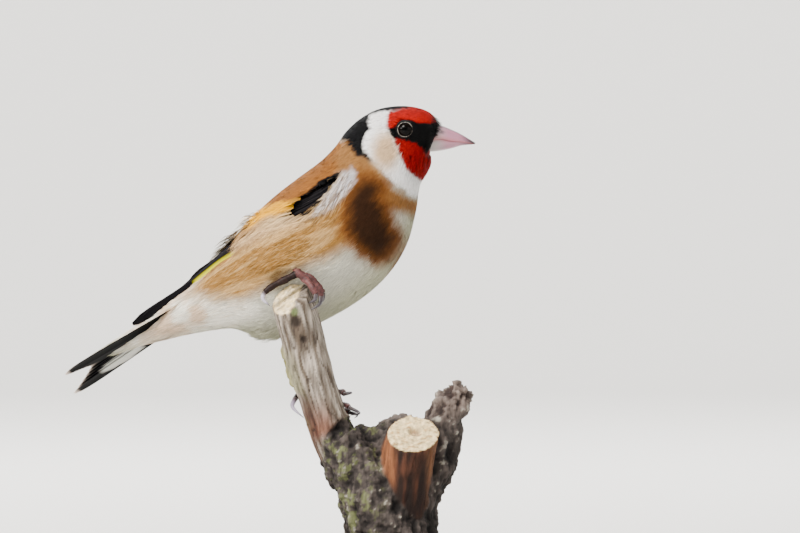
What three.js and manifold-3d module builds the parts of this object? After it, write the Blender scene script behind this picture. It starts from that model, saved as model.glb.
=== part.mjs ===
// A European goldfinch perched on a cut branch, life size, as a still model on a plain display stand.
// Millimetres. +X is the way the bill points, +Y leads away from the side that shows, +Z is up.
// The origin is the centre of the stand base's underside.

import * as THREE from "three";
import { mergeVertices } from "three/addons/utils/BufferGeometryUtils.js";
import Module from "manifold-3d";

const wasm = await Module();
wasm.setup();

const { degToRad, lerp, smoothstep, clamp } = THREE.MathUtils;
const point = (x, y, z) => new THREE.Vector3(x, y, z);

// Left between pieces that touch
const GAP = 0.3;
// Shortest edge worth keeping
const FINEST = 0.006;

// The bird's attitude on the perch
const BODY_DEPTH = 17;
const BODY_YAW = 8;
const BODY_ROLL = 13;
const TAIL_ROLL = 18;
const PIVOT_X = -11;
const NECK_X = 6;

// Sections of the body from the tail's root to the bill's base. Each runs from a point on the back to one
// on the belly: [back x, back z, belly x, belly z, half width, height of the widest place, belly roundness].
const SECTIONS = [
  [-54.0, 76.4, -55.1, 72.4, 2.0, 0.5, 2.0],
  [-48.1, 81.6, -49.1, 73.2, 5.5, 0.5, 2.0],
  [-41.6, 88.3, -41.6, 74.7, 8.5, 0.52, 1.9],
  [-34.6, 95.9, -31.9, 75.5, 12.0, 0.56, 1.7],
  [-27.5, 103.4, -24.4, 73.2, 15.0, 0.58, 1.6],
  [-20.5, 110.2, -15.4, 73.8, 17.3, 0.56, 1.7],
  [-13.5, 115.7, -4.9, 78.6, 18.6, 0.53, 1.9],
  [-7.6, 120.2, 4.3, 84.7, 18.4, 0.5, 2.0],
  [-3.8, 124.2, 11.1, 91.3, 16.8, 0.5, 2.0],
  [-1.6, 127.5, 15.4, 98.6, 14.6, 0.5, 2.0],
  [0.5, 129.7, 17.6, 106.9, 12.3, 0.5, 2.0],
  [3.2, 131.9, 18.5, 113.4, 10.4, 0.5, 2.0],
  [7.3, 134.1, 19.4, 117.5, 9.2, 0.5, 2.0],
  [12.2, 135.1, 20.8, 120.4, 8.5, 0.5, 2.0],
  [17.3, 134.9, 21.6, 122.3, 7.4, 0.5, 2.0],
  [21.6, 133.4, 22.1, 123.1, 5.7, 0.5, 2.0],
  [24.0, 130.4, 22.4, 123.3, 3.3, 0.5, 2.0],
];
const NECK_START = 9.4;
const HEAD_START = 11.5;
const LAST_SECTION = SECTIONS.length - 1;
const BODY_SIDES = 26;

// Eyes and lids
const EYE_SECTION = 12.7;
const EYE_ANGLE = 75;
const EYE_RADIUS = 2.4;
const EYE_SINK = 1.75;
const LID_RADIUS = 2.05;
const LID_THICKNESS = 0.45;

// Bill: the ridge, the mouth line and the lower edge, each from the base to the tip
const BILL_TIP_X = 33.9;
const RIDGE = [[22.0, 131.2], [24.3, 130.3], [27.0, 129.2], [29.8, 127.9], [32.3, 126.4], [33.9, 125.4]];
const MOUTH = [[19.5, 125.6], [23.8, 126.5], [27.0, 125.9], [29.8, 125.6], [32.3, 125.3], [33.7, 125.1]];
const GONYS = [[18.5, 123.0], [23.0, 123.1], [27.0, 123.8], [29.8, 124.6], [32.0, 124.9], [33.0, 124.95]];
const BILL_HALF_WIDTH = 3.3;
const NOSTRIL_RADIUS = 0.45;

// Wings: three lines along the folded wing, from the wrist to the tip, at the upper edge, the middle and the
// lower edge. Each place is [body section, angle from the back, height over the body].
const WING_LINES = [
  [
    [8.1, 58, -2.6], [7.2, 42, -2.6], [6.2, 33, -2.4], [5.1, 27, -1.8], [4.2, 20, -0.4],
    [3.2, 12, 1.4], [2.2, 11, 2.0], [1.1, 13, 2.3], [-1.1, 22, 4.1],
  ],
  [
    [8.2, 71, -2.0], [7.3, 66, -0.3], [6.4, 65, 0.0], [5.3, 59, -0.5], [4.3, 53, -1.1],
    [3.3, 44, 0.1], [2.3, 38, 1.0], [1.2, 34, 1.6], [-1.07, 30, 3.6],
  ],
  [
    [8.3, 82, -3.2], [7.4, 86, -3.6], [6.6, 90, -3.8], [5.6, 92, -3.8], [4.6, 88, -3.6],
    [3.5, 76, -1.4], [2.5, 69, 0.0], [1.4, 60, 0.7], [-1.02, 39, 3.2],
  ],
];
const WING_END = WING_LINES[0].length - 1;

// Rows of wing feathers, bottom layer first. Each row runs from its lowest feather on the folded wing to its
// highest: roots and tips are [place along the wing, place across it] at the row's two ends, lifts are the
// heights over the sheet there, and bulge pushes the tips of the middle feathers out along the wing.
const WING_ROWS = [
  { count: 7, roots: [[3.3, 0.93], [3.1, 0.62]], tips: [[7.7, 0.86], [6.75, 0.4]], lifts: [0, 0.72],
    half: 2.0, bulge: 0.75 },
  { count: 5, roots: [[3.0, 0.66], [2.8, 0.34]], tips: [[6.35, 0.52], [5.75, 0.3]], lifts: [0.8, 1.1],
    half: 2.2, bulge: 0 },
  { count: 3, roots: [[3.2, 0.34], [2.9, 0.1]], tips: [[6.45, 0.3], [5.3, 0.1]], lifts: [1.2, 1.5],
    half: 2.5, bulge: 0.1 },
  { count: 5, roots: [[1.3, 0.88], [1.4, 0.16]], tips: [[3.5, 0.86], [3.7, 0.14]], lifts: [0.9, 1.2],
    half: 2.4, bulge: 0.2 },
  { count: 4, roots: [[0.4, 0.84], [0.5, 0.2]], tips: [[2.0, 0.82], [2.1, 0.18]], lifts: [1.2, 1.4],
    half: 2.4, bulge: 0.15 },
];
const ARM_END = 4.4;
const VANE_THICKNESS = 0.5;
// Share of the full half width at shares of a feather's length
const VANE_OUTLINE = [[0, 0.5], [0.35, 0.95], [0.78, 1], [0.93, 0.72], [1, 0.26]];

// Tail
const TAIL_ROOT = point(-44.5, 21.6, 80.2);
const TAIL_DROP = 32.2;
const TAIL_YAW = 6;

// Perch: the stem's centre line, then the swollen joint, the sawn stub and the broken snag
const STEM_LINE = [
  point(-17.4, 0, 91.0), point(-15.2, 0, 83.0), point(-12.9, 0, 74.0), point(-10.2, 0, 64.0),
  point(-7.7, 0, 55.9), point(-5.7, 0, 50.0), point(-2.6, 0, 42.0), point(1.0, 0, 35.0),
];
const STEM_RADIUS = 5.85;
const STEM_CUTS = [
  { at: point(-16.5, 0, 85.6), facing: point(-0.34, -0.69, 0.64).normalize() },
  { at: point(-15.0, 0, 88.3), facing: point(0.12, 0.2, 1).normalize() },
];

// Stand
const BASE_RADIUS = 46;
const BASE_HEIGHT = 7;
const ROD_RADIUS = 3.2;
const PERCH_FOOT = point(12.7, -0.5, 15.9);

// Turns a closed geometry into a solid, whichever way its faces were wound.
function solid(geometry) {
  const bare = new THREE.BufferGeometry().setAttribute("position", geometry.getAttribute("position"));
  bare.setIndex(geometry.index);
  const merged = mergeVertices(bare, 1e-4);
  const at = merged.getAttribute("position");
  const faces = new Uint32Array(merged.index.array);
  const corner = [point(), point(), point()];
  let volume = 0;
  for (let i = 0; i < faces.length; i += 3) {
    corner.forEach((c, j) => c.fromBufferAttribute(at, faces[i + j]));
    volume += corner[0].dot(corner[1].cross(corner[2])) / 6;
  }
  if (volume < 0) {
    for (let i = 0; i < faces.length; i += 3) [faces[i + 1], faces[i + 2]] = [faces[i + 2], faces[i + 1]];
  }
  return new wasm.Manifold(new wasm.Mesh({ numProp: 3, vertProperties: at.array, triVerts: faces }));
}

// The largest closed surface of a solid, with scraps and slivers too fine for the stored files dropped.
function largest(made) {
  const whole = made.asOriginal().simplify(FINEST);
  return whole.decompose().sort((a, b) => b.volume() - a.volume())[0];
}

function joined(pieces) {
  return pieces.reduce((all, piece) => all.add(piece));
}

function mesh(name, made, material) {
  const { vertProperties, triVerts } = largest(made).getMesh();
  const geometry = new THREE.BufferGeometry();
  geometry.setAttribute("position", new THREE.BufferAttribute(new Float32Array(vertProperties), 3));
  geometry.setIndex(new THREE.BufferAttribute(new Uint32Array(triVerts), 1));
  geometry.computeVertexNormals();
  const node = new THREE.Mesh(geometry, material);
  node.name = name;
  return node;
}

// A closed skin over rings with the same number of points, with a fan over each end. Faces of the columns
// listed in turned are split along their other diagonal.
function loft(rings, turned = []) {
  const sides = rings[0].length;
  const points = rings.flat();
  const faces = [];
  for (let i = 0; i < rings.length - 1; i++) {
    for (let j = 0; j < sides; j++) {
      const a = i * sides + j;
      const b = i * sides + ((j + 1) % sides);
      const [c, d] = [b + sides, a + sides];
      if (turned.includes(j)) faces.push(a, b, d, b, c, d);
      else faces.push(a, b, c, a, c, d);
    }
  }
  for (const [ring, first] of [[rings[0], 0], [rings.at(-1), (rings.length - 1) * sides]]) {
    const hub = points.length;
    points.push(ring.reduce((sum, p) => sum.add(p), point()).divideScalar(sides));
    for (let j = 0; j < sides; j++) {
      const [a, b] = [first + j, first + ((j + 1) % sides)];
      faces.push(...(first ? [hub, a, b] : [hub, b, a]));
    }
  }
  const geometry = new THREE.BufferGeometry().setFromPoints(points);
  geometry.setIndex(faces);
  return solid(geometry);
}

// A round limb along a line of points, its radius read from a list spread evenly over its length.
function limb(points, radii, sides, steps, grow = 0) {
  const line = new THREE.CatmullRomCurve3(points, false, "centripetal");
  const frames = line.computeFrenetFrames(steps);
  const rings = [];
  for (let i = 0; i <= steps; i++) {
    const place = (i / steps) * (radii.length - 1);
    const k = Math.min(Math.floor(place), radii.length - 2);
    const radius = lerp(radii[k], radii[k + 1], place - k) + grow;
    const centre = line.getPointAt(i / steps);
    const ring = [];
    for (let j = 0; j < sides; j++) {
      const a = (2 * Math.PI * j) / sides;
      ring.push(
        centre.clone()
          .addScaledVector(frames.normals[i], radius * Math.cos(a))
          .addScaledVector(frames.binormals[i], radius * Math.sin(a)),
      );
    }
    rings.push(ring);
  }
  return loft(rings);
}

// BODY
const along = (pick) => new THREE.CatmullRomCurve3(SECTIONS.map(pick), false, "catmullrom", 0.5);
const backLine = along(([x, z]) => point(x, 0, z));
const bellyLine = along(([, , x, z]) => point(x, 0, z));
const formLine = along(([, , , , half, waist, fullness]) => point(half, waist, fullness));

// The body's section at a place from 0, the tail's root, to LAST_SECTION, the bill's base.
function section(place) {
  const t = clamp(place / LAST_SECTION, 0, 1);
  const back = backLine.getPoint(t);
  const belly = bellyLine.getPoint(t);
  const form = formLine.getPoint(t);
  const centre = belly.clone().lerp(back, form.y);
  const forward = Math.min(centre.x, NECK_X) - PIVOT_X;
  centre.y = BODY_DEPTH - forward * Math.tan(degToRad(BODY_YAW));
  const height = back.distanceTo(belly);
  const rise = back.sub(belly).normalize();
  const turned = 1 - smoothstep(place, 8, 12);
  const yaw = degToRad(BODY_YAW) * turned;
  const roll = degToRad(lerp(BODY_ROLL * turned, TAIL_ROLL, 1 - smoothstep(place, 0, 3)));
  const level = point(-Math.sin(yaw), -Math.cos(yaw), 0);
  const upright = point(rise.x * Math.cos(yaw), -rise.x * Math.sin(yaw), rise.z);
  return {
    centre,
    up: upright.clone().multiplyScalar(Math.cos(roll)).addScaledVector(level, -Math.sin(roll)),
    side: level.clone().multiplyScalar(Math.cos(roll)).addScaledVector(upright, Math.sin(roll)),
    above: height * (1 - form.y),
    below: height * form.y,
    half: form.x,
    fullness: form.z,
  };
}

const tailTangent = section(0).centre.sub(section(1).centre);

// A place on the body's surface: the angle is 0 on the back, 90 on the right side and 180 on the belly.
function onBody(place, angle, height = 0) {
  const s = section(place);
  const [c, w] = [Math.cos(degToRad(angle)), Math.sin(degToRad(angle))];
  const power = 2 / (c > 0 ? 2 : s.fullness);
  const z = Math.sign(c) * Math.abs(c) ** power * ((c > 0 ? s.above : s.below) + height);
  const y = Math.sign(w) * Math.abs(w) ** power * (s.half + height);
  return s.centre
    .addScaledVector(s.up, z)
    .addScaledVector(s.side, y)
    .addScaledVector(tailTangent, Math.max(0, -place));
}

// A length of the body between two sections, each end drawn in by half the gap.
function bodyLength(from, to, steps, grow = 0) {
  const rings = [];
  for (let i = 0; i <= steps; i++) {
    const place = lerp(from, to, i / steps);
    const ring = [];
    for (let j = 0; j < BODY_SIDES; j++) ring.push(onBody(place, (360 * j) / BODY_SIDES, grow));
    rings.push(ring);
  }
  for (const [ring, next] of [[rings[0], rings[1]], [rings.at(-1), rings.at(-2)]]) {
    const middle = (r) => r[0].clone().lerp(r[BODY_SIDES / 2], 0.5);
    const inwards = middle(next).sub(middle(ring)).normalize();
    for (const p of ring) p.addScaledVector(inwards, GAP / 2 - grow);
  }
  return loft(rings);
}

// WINGS
// The folded wing's sheet: k runs from the wrist to the tip, v from the upper edge to the lower one.
function wingSheet(hand) {
  const [upper, middle, lower] = WING_LINES.map(
    (line) =>
      new THREE.CatmullRomCurve3(
        line.map(([place, angle, height]) => onBody(place, hand * angle, height)),
        false, "catmullrom", 0.5,
      ),
  );
  return (k, v) => {
    const t = clamp(k / WING_END, 0, 1);
    const [a, m, b] = [upper, middle, lower].map((line) => line.getPoint(t));
    const bend = m.multiplyScalar(2).addScaledVector(a, -0.5).addScaledVector(b, -0.5);
    return a.multiplyScalar((1 - v) ** 2).addScaledVector(bend, 2 * v * (1 - v)).addScaledVector(b, v * v);
  };
}

// The sheet's own directions at a place: along to the tip, across to the lower edge, and out from the body.
function sheetFrame(sheet, hand, k, v) {
  const step = 0.02;
  const near = Math.min(k, WING_END - step);
  const length = sheet(near + step, v).sub(sheet(near, v)).normalize();
  const width = sheet(near, v + step).sub(sheet(near, v - step)).normalize();
  const out = length.clone().cross(width).multiplyScalar(-hand).normalize();
  const across = out.clone().cross(length).multiplyScalar(-hand);
  return { length, across, out };
}

// A closed slab that follows the sheet from the wrist to an end, between heights under it and over it. Rim
// widens it beyond the sheet's own edges.
function slab(hand, end, under, over, kSteps, vSteps, rim) {
  const sheet = wingSheet(hand);
  const rings = [];
  for (let i = 0; i <= kSteps; i++) {
    const [high, low] = [[], []];
    for (let j = 0; j <= vSteps; j++) {
      const [k, v] = [(end * i) / kSteps, j / vSteps];
      const { length, across, out } = sheetFrame(sheet, hand, k, v);
      const at = sheet(k, v)
        .addScaledVector(length, i === 0 ? -rim : i === kSteps ? rim : 0)
        .addScaledVector(across, j === 0 ? -rim : j === vSteps ? rim : 0);
      high.push(at.clone().addScaledVector(out, over));
      low.unshift(at.addScaledVector(out, -under));
    }
    rings.push([...high, ...low]);
  }
  return loft(rings, rings[0].map((_, j) => j).filter((j) => j > vSteps));
}

// A thin feather along a spine of places, each with the way across it and the way out from the body.
function vane(spine, half, camber) {
  const rings = spine.map(({ at, across, out }, i) => {
    const w = half * VANE_OUTLINE[i][1];
    const [left, right] = [at.clone().addScaledVector(across, -w), at.clone().addScaledVector(across, w)];
    const crown = at.clone().addScaledVector(out, camber * VANE_OUTLINE[i][1]);
    const under = (p) => p.clone().addScaledVector(out, -VANE_THICKNESS);
    return [left, crown, right, under(right), under(crown), under(left)];
  });
  return loft(rings, [3, 4]);
}

function wingFeather(sheet, hand, [k0, v0], [k1, v1], lift, half) {
  const place = (t) => {
    const [k, v] = [lerp(k0, k1, t), lerp(v0, v1, t)];
    const { out } = sheetFrame(sheet, hand, k, v);
    return { at: sheet(k, v).addScaledVector(out, lift), out };
  };
  const spine = VANE_OUTLINE.map(([t]) => {
    const { at, out } = place(t);
    const length = place(Math.min(t, 0.98) + 0.02).at.sub(place(Math.min(t, 0.98)).at).normalize();
    return { at, out, across: length.cross(out).normalize() };
  });
  return vane(spine, half, 0.25);
}

const HANDS = { right: 1, left: -1 };

function wing(hand) {
  const sheet = wingSheet(hand);
  const pieces = [slab(hand, ARM_END, 0.6, 0.75, 9, 4, 0)];
  for (const { count, roots, tips, lifts, half, bulge } of WING_ROWS) {
    for (let i = 0; i < count; i++) {
      const t = i / (count - 1);
      const [root, tip] = [roots, tips].map(([a, b]) => [lerp(a[0], b[0], t), lerp(a[1], b[1], t)]);
      tip[0] = Math.min(tip[0] + bulge * Math.sin(Math.PI * t), WING_END - 0.02);
      pieces.push(wingFeather(sheet, hand, root, tip, lerp(...lifts, t), half));
    }
  }
  return joined(pieces).intersect(wingRoom(hand, 0));
}
// The room that a wing takes up, and with a gap what the body leaves free for it.
const wingRoom = (hand, gap) => slab(hand, WING_END, 0.7 + gap, 2.0 + gap, 15, 4, 1.3 + gap);

// TAIL
const tailFrame = (() => {
  const [drop, yaw, roll] = [TAIL_DROP, TAIL_YAW, TAIL_ROLL].map(degToRad);
  const length = point(-Math.cos(drop) * Math.cos(yaw), Math.cos(drop) * Math.sin(yaw), -Math.sin(drop));
  const level = point(-Math.sin(yaw), -Math.cos(yaw), 0);
  const upright = level.clone().cross(length).multiplyScalar(-1);
  return {
    length,
    side: level.clone().multiplyScalar(Math.cos(roll)).addScaledVector(upright, Math.sin(roll)),
    up: upright.clone().multiplyScalar(Math.cos(roll)).addScaledVector(level, -Math.sin(roll)),
  };
})();
const onTail = (out, across, height) =>
  TAIL_ROOT.clone()
    .addScaledVector(tailFrame.length, out)
    .addScaledVector(tailFrame.side, across)
    .addScaledVector(tailFrame.up, height);

// Half widths of the folded tail at distances from its root
const TAIL_SHAPE = [[-7, 3.6], [8, 6.2], [20, 8.2], [32, 9.8], [35.5, 9.8]];
const TAIL_PAIRS = 6;

function tailRoom(gap) {
  const rings = TAIL_SHAPE.map(([reach, half], i) => {
    const out = reach - (i === 0 ? gap : 0);
    const w = half + gap;
    const [over, under] = [2.0 + gap, -0.7 - gap];
    return [onTail(out, -w, under), onTail(out, -w, over), onTail(out, w, over), onTail(out, w, under)];
  });
  return loft(rings);
}

// The tail's feathers: the middle pair lies on top and is the shortest.
function tail() {
  const pieces = [];
  for (let rank = TAIL_PAIRS; rank >= 1; rank--) {
    for (const hand of [1, -1]) {
      const share = (rank - 0.5) / (TAIL_PAIRS - 0.5);
      const end = lerp(30, 35, share ** 1.5);
      const [rootAcross, tipAcross] = [hand * 2.4 * share, hand * 7.7 * share];
      const lift = lerp(1.35, 0.05, share) + (hand < 0 ? 0.08 : 0);
      const spine = VANE_OUTLINE.map(([t]) => {
        const at = onTail(lerp(-6.5, end, t), lerp(rootAcross, tipAcross, t), lift);
        const length = onTail(end, tipAcross, 0).sub(onTail(-6.5, rootAcross, 0)).normalize();
        return { at, out: tailFrame.up.clone(), across: length.cross(tailFrame.up).normalize() };
      });
      pieces.push(vane(spine, 1.95, 0.2));
    }
  }
  return joined(pieces);
}

// PERCH
// Half of space under a plane, as a large block, to cut a stem on the slant.
function blockOver(at, facing, lift = 0) {
  const box = new THREE.BoxGeometry(60, 60, 40).translate(0, 0, 20 + lift);
  box.applyQuaternion(new THREE.Quaternion().setFromUnitVectors(point(0, 0, 1), facing));
  return solid(box.translate(at.x, at.y, at.z));
}

function stem(grow = 0) {
  const radii = [1.0, 1.0, 0.99, 0.97, 0.95, 0.95, 0.98, 1.05].map((r) => r * STEM_RADIUS);
  return STEM_CUTS.reduce(
    (wood, { at, facing }) => wood.subtract(blockOver(at, facing, grow)),
    limb(STEM_LINE, radii, 20, 10, grow),
  );
}

// LEGS
// Each foot: the heel and ball of the foot, and the toes as lines of joints that end where the claws begin.
const FEET = {
  right: {
    leg: [point(-16.4, 7.5, 101.0), point(-15.4, 4.0, 97.0), point(-13.9, -1.2, 90.2)],
    toes: [
      [point(-13.9, -1.2, 90.2), point(-17.2, -1.8, 89.6), point(-20.6, -2.4, 87.8), point(-22.7, -2.8, 85.6)],
      [point(-13.9, -1.2, 90.2), point(-10.4, -2.6, 88.8), point(-8.1, -3.2, 86.4), point(-7.6, -3.4, 84.0)],
      [point(-13.9, -1.2, 90.2), point(-11.4, -4.8, 88.2), point(-9.9, -6.4, 86.4), point(-8.9, -6.9, 84.6)],
      [point(-13.9, -1.2, 90.2), point(-10.6, 1.2, 89.6), point(-8.2, 2.2, 87.4), point(-7.2, 2.6, 85.0)],
    ],
    claws: [
      [point(-22.7, -2.8, 85.6), point(-23.1, -3.2, 83.4), point(-21.2, -3.6, 81.4)],
      [point(-7.6, -3.4, 84.0), point(-8.0, -4.0, 82.0), point(-10.3, -5.0, 80.4)],
      [point(-8.9, -6.9, 84.6), point(-9.2, -7.2, 83.2), point(-10.9, -6.9, 82.2)],
      [point(-7.2, 2.6, 85.0), point(-7.3, 2.8, 83.0), point(-9.2, 2.9, 81.4)],
    ],
  },
  left: {
    leg: [point(-13.0, 17.0, 80.0), point(-11.3, 13.2, 69.5), point(-6.9, 8.6, 56.6)],
    toes: [
      [point(-6.9, 8.6, 56.6), point(-10.2, 7.4, 57.6), point(-13.2, 4.6, 57.8), point(-14.6, 0.8, 56.6)],
      [point(-6.9, 8.6, 56.6), point(-3.4, 7.8, 57.8), point(-1.0, 5.4, 58.6), point(-0.2, 1.8, 57.6)],
      [point(-6.9, 8.6, 56.6), point(-3.6, 7.8, 55.2), point(-0.4, 5.8, 54.8), point(1.4, 2.0, 54.2)],
      [point(-6.9, 8.6, 56.6), point(-4.2, 8.2, 53.4), point(-0.8, 6.8, 52.2), point(1.6, 4.0, 51.4)],
    ],
    claws: [
      [point(-14.6, 0.8, 56.6), point(-15.2, -1.8, 54.4), point(-12.2, -4.6, 51.6)],
      [point(-0.2, 1.8, 57.6), point(0.4, 0.2, 58.2), point(-1.0, -1.8, 57.8)],
      [point(1.4, 2.0, 54.2), point(2.6, -0.4, 52.8), point(0.2, -3.2, 52.2)],
      [point(1.6, 4.0, 51.4), point(2.6, 1.8, 50.6), point(1.4, -0.4, 50.2)],
    ],
  },
};
const LEG_RADII = [1.5, 1.05, 0.95];
const TOE_RADII = [1.3, 1.05, 1.0, 0.85];
const CLAW_RADII = [0.62, 0.42, 0.12];

function leg({ leg: shank, toes }, grow = 0) {
  const pieces = [limb(shank, LEG_RADII, 8, 6, grow)];
  for (const toe of toes) {
    const last = toe.at(-1).clone().lerp(toe.at(-2), GAP / toe.at(-1).distanceTo(toe.at(-2)));
    pieces.push(limb([...toe.slice(0, -1), last], TOE_RADII, 8, 7, grow));
  }
  const ball = new THREE.IcosahedronGeometry(1.5 + grow, 1);
  const { x, y, z } = shank.at(-1);
  return joined([...pieces, solid(ball.translate(x, y, z))]);
}

// NODES
const material = (color, roughness, metalness = 0) =>
  new THREE.MeshStandardMaterial({ color, roughness, metalness });
const FEATHER_BROWN = material(0xa97c55, 0.8);
const FEATHER_BLACK = material(0x1c1a1c, 0.6);
const HORN = material(0xd9c4b8, 0.4);
const SKIN = material(0xb98478, 0.5);
const EYE = material(0x140d0a, 0.1);
const WOOD = material(0x8c8272, 0.8);
const STAND = material(0x2a2724, 0.5);

const group = new THREE.Group();
group.name = "goldfinch_on_branch";
const add = (name, made, finish) => group.add(mesh(name, made, finish));

const bareStem = stem();
const stemClear = stem(GAP);
const wings = Object.fromEntries(Object.entries(HANDS).map(([name, hand]) => [name, wing(hand)]));
const wingsClear = Object.values(HANDS).map((hand) => wingRoom(hand, GAP));

const wholeBody = bodyLength(0, NECK_START, 24);
const bodyClear = bodyLength(-0.05, NECK_START, 24, GAP);
const torso = [...wingsClear, stemClear, tailRoom(GAP)].reduce((all, cut) => all.subtract(cut), wholeBody);
add("torso", torso, FEATHER_BROWN);
add("neck", bodyLength(NECK_START, HEAD_START, 6), FEATHER_BROWN);

function head() {
  const raw = bodyLength(HEAD_START, LAST_SECTION, 12);
  return raw;
}

const eyes = {};
for (const [name, hand] of Object.entries(HANDS)) {
  const at = onBody(EYE_SECTION, hand * EYE_ANGLE, -EYE_SINK);
  const facing = onBody(EYE_SECTION, hand * EYE_ANGLE).sub(section(EYE_SECTION).centre).normalize();
  facing.lerp(point(0, -hand, 0), 0.75).normalize();
  eyes[name] = { at, facing };
}
let skull = head();
for (const [name, { at, facing }] of Object.entries(eyes)) {
  const turn = new THREE.Quaternion().setFromUnitVectors(point(0, 0, 1), facing);
  const ball = new THREE.SphereGeometry(EYE_RADIUS, 16, 10).rotateX(Math.PI / 2).applyQuaternion(turn);
  const socket = new THREE.SphereGeometry(EYE_RADIUS + GAP, 16, 10).rotateX(Math.PI / 2).applyQuaternion(turn);
  const rim = at.clone().addScaledVector(facing, Math.sqrt(EYE_RADIUS ** 2 - LID_RADIUS ** 2) + 0.1);
  const lid = new THREE.TorusGeometry(LID_RADIUS, LID_THICKNESS, 6, 16).applyQuaternion(turn);
  skull = skull.add(solid(lid.translate(rim.x, rim.y, rim.z)));
  skull = skull.subtract(solid(socket.translate(at.x, at.y, at.z)));
  add(`eye_${name}`, solid(ball.translate(at.x, at.y, at.z)), EYE);
}
add("head", skull, FEATHER_BROWN);

// BILL
const BILL_Y = section(LAST_SECTION).centre.y;
const billRun = (line) => new THREE.CatmullRomCurve3(line.map(([x, z]) => point(x, BILL_Y, z)));
const ridge = billRun(RIDGE);
const mouth = billRun(MOUTH);
const gonys = billRun(GONYS);

// Half a cone split along the mouth line: the round side follows one line and the flat side the mouth.
function billHalf(outer, sign) {
  const rings = [];
  const steps = 10;
  for (let i = 0; i <= steps; i++) {
    const t = i / steps;
    const edge = mouth.getPoint(t).add(point(0, 0, (sign * GAP) / 2));
    const crest = outer.getPoint(t);
    const half = Math.max(BILL_HALF_WIDTH * (1 - t ** 1.25), 0.22) * (sign > 0 ? 1 : 0.92);
    const ring = [];
    for (let j = 0; j <= 8; j++) {
      const a = (Math.PI * j) / 8;
      const across = point(0, -half * Math.cos(a), 0);
      ring.push(edge.clone().lerp(crest, Math.sin(a)).add(across));
    }
    rings.push(ring);
  }
  return loft(rings);
}
const headClear = bodyLength(HEAD_START, LAST_SECTION, 12, GAP);
const nostrils = [1, -1].map((hand) => {
  const pit = new THREE.SphereGeometry(NOSTRIL_RADIUS, 8, 6).scale(1.5, 1, 0.8);
  return solid(pit.translate(25.2, BILL_Y - hand * 2.3, 128.4));
});
const upperBill = nostrils.reduce((all, pit) => all.subtract(pit), billHalf(ridge, 1));
add("bill_upper", upperBill.subtract(headClear), HORN);
add("bill_lower", billHalf(gonys, -1).subtract(headClear), HORN);

for (const [name, made] of Object.entries(wings)) add(`wing_${name}`, made, FEATHER_BLACK);
add("tail", tail(), FEATHER_BLACK);

// PERCH AND STAND
const KNOB = {
  swell: [[point(-2.6, 0, 46.0), point(2.2, 0, 38.0), point(7.6, -0.3, 29.0), PERCH_FOOT], [6.6, 8.6, 10.8, 10.4]],
  saddle: [[point(1.0, 1.5, 44.0), point(8.0, 3.0, 43.0), point(17.5, 4.0, 45.5)], [5.2, 7.0, 7.4]],
};
const SNAG = [
  [point(13.0, 1.5, 20.0), point(16.0, 2.5, 29.8), point(22.0, 4.0, 38.8), point(24.4, 4.6, 46.0),
    point(25.2, 4.4, 51.4), point(27.9, 4.0, 55.9), point(30.6, 3.6, 59.6)],
  [10.6, 8.4, 6.8, 6.2, 5.6, 4.5, 2.6],
];
const STUB = [[point(13.0, -1.0, 25.0), point(14.6, -3.4, 36.0), point(18.2, -7.6, 53.0)], [8.0, 7.2, 6.7]];
const STUB_CUT_AT = point(17.0, -6.2, 47.4);
const STUB_CUT_FACING = point(0.05, -0.6, 0.8).normalize();
const floorAt = PERCH_FOOT.z;
const underFoot = solid(new THREE.BoxGeometry(120, 120, 40).translate(0, 0, floorAt - 20));

const knob = (grow) => limb(...KNOB.swell, 18, 8, grow).add(limb(...KNOB.saddle, 14, 4, grow));
const snag = (grow) => limb(...SNAG, 14, 9, grow);
const stub = (grow) => limb(...STUB, 18, 5, grow).subtract(blockOver(STUB_CUT_AT, STUB_CUT_FACING, grow));
const stubClear = stub(GAP);
const knobClear = knob(GAP).subtract(stubClear);
add("perch_stem", bareStem, WOOD);
add("perch_stub", stub(0).subtract(stemClear).subtract(underFoot), WOOD);
add("perch_knob", knob(0).subtract(stemClear).subtract(stubClear).subtract(underFoot), WOOD);
add("perch_snag", snag(0).subtract(stemClear).subtract(stubClear).subtract(knobClear).subtract(underFoot), WOOD);


for (const [name, foot] of Object.entries(FEET)) {
  const bare = [stemClear, bodyClear, knobClear].reduce((all, cut) => all.subtract(cut), leg(foot));
  add(`leg_${name}`, bare, SKIN);
  foot.claws.forEach((claw, i) => {
    const made = [stemClear, bodyClear, knobClear].reduce((all, cut) => all.subtract(cut), limb(claw, CLAW_RADII, 6, 6));
    add(`claw_${name}_${i + 1}`, made, HORN);
  });
}

const rodTop = floorAt - GAP;
const rodBottom = BASE_HEIGHT + GAP;
const rod = new THREE.CylinderGeometry(ROD_RADIUS, ROD_RADIUS, rodTop - rodBottom, 24).rotateX(Math.PI / 2);
add("stand_rod", solid(rod.translate(PERCH_FOOT.x, PERCH_FOOT.y, (rodTop + rodBottom) / 2)), STAND);
const chamfer = 1.2;
const profile = [
  [0, 0], [BASE_RADIUS, 0], [BASE_RADIUS, BASE_HEIGHT - chamfer], [BASE_RADIUS - chamfer, BASE_HEIGHT], [0, BASE_HEIGHT],
].map(([r, z]) => new THREE.Vector2(r, z));
add("stand_base", solid(new THREE.LatheGeometry(profile, 48).rotateX(Math.PI / 2)), STAND);

export default group;
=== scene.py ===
"""A European goldfinch on a cut branch, held by a plain display stand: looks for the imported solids.

Lengths in the tables are millimetres in the row frame: +X the way the bill points, +Y away from the side
that shows, +Z up. The body is one tube whose surface is addressed by section, from 0 at the tail's root to
16 at the bill, and by angle from the back. Skin, coat, wings and markings all use that address.
"""

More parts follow.
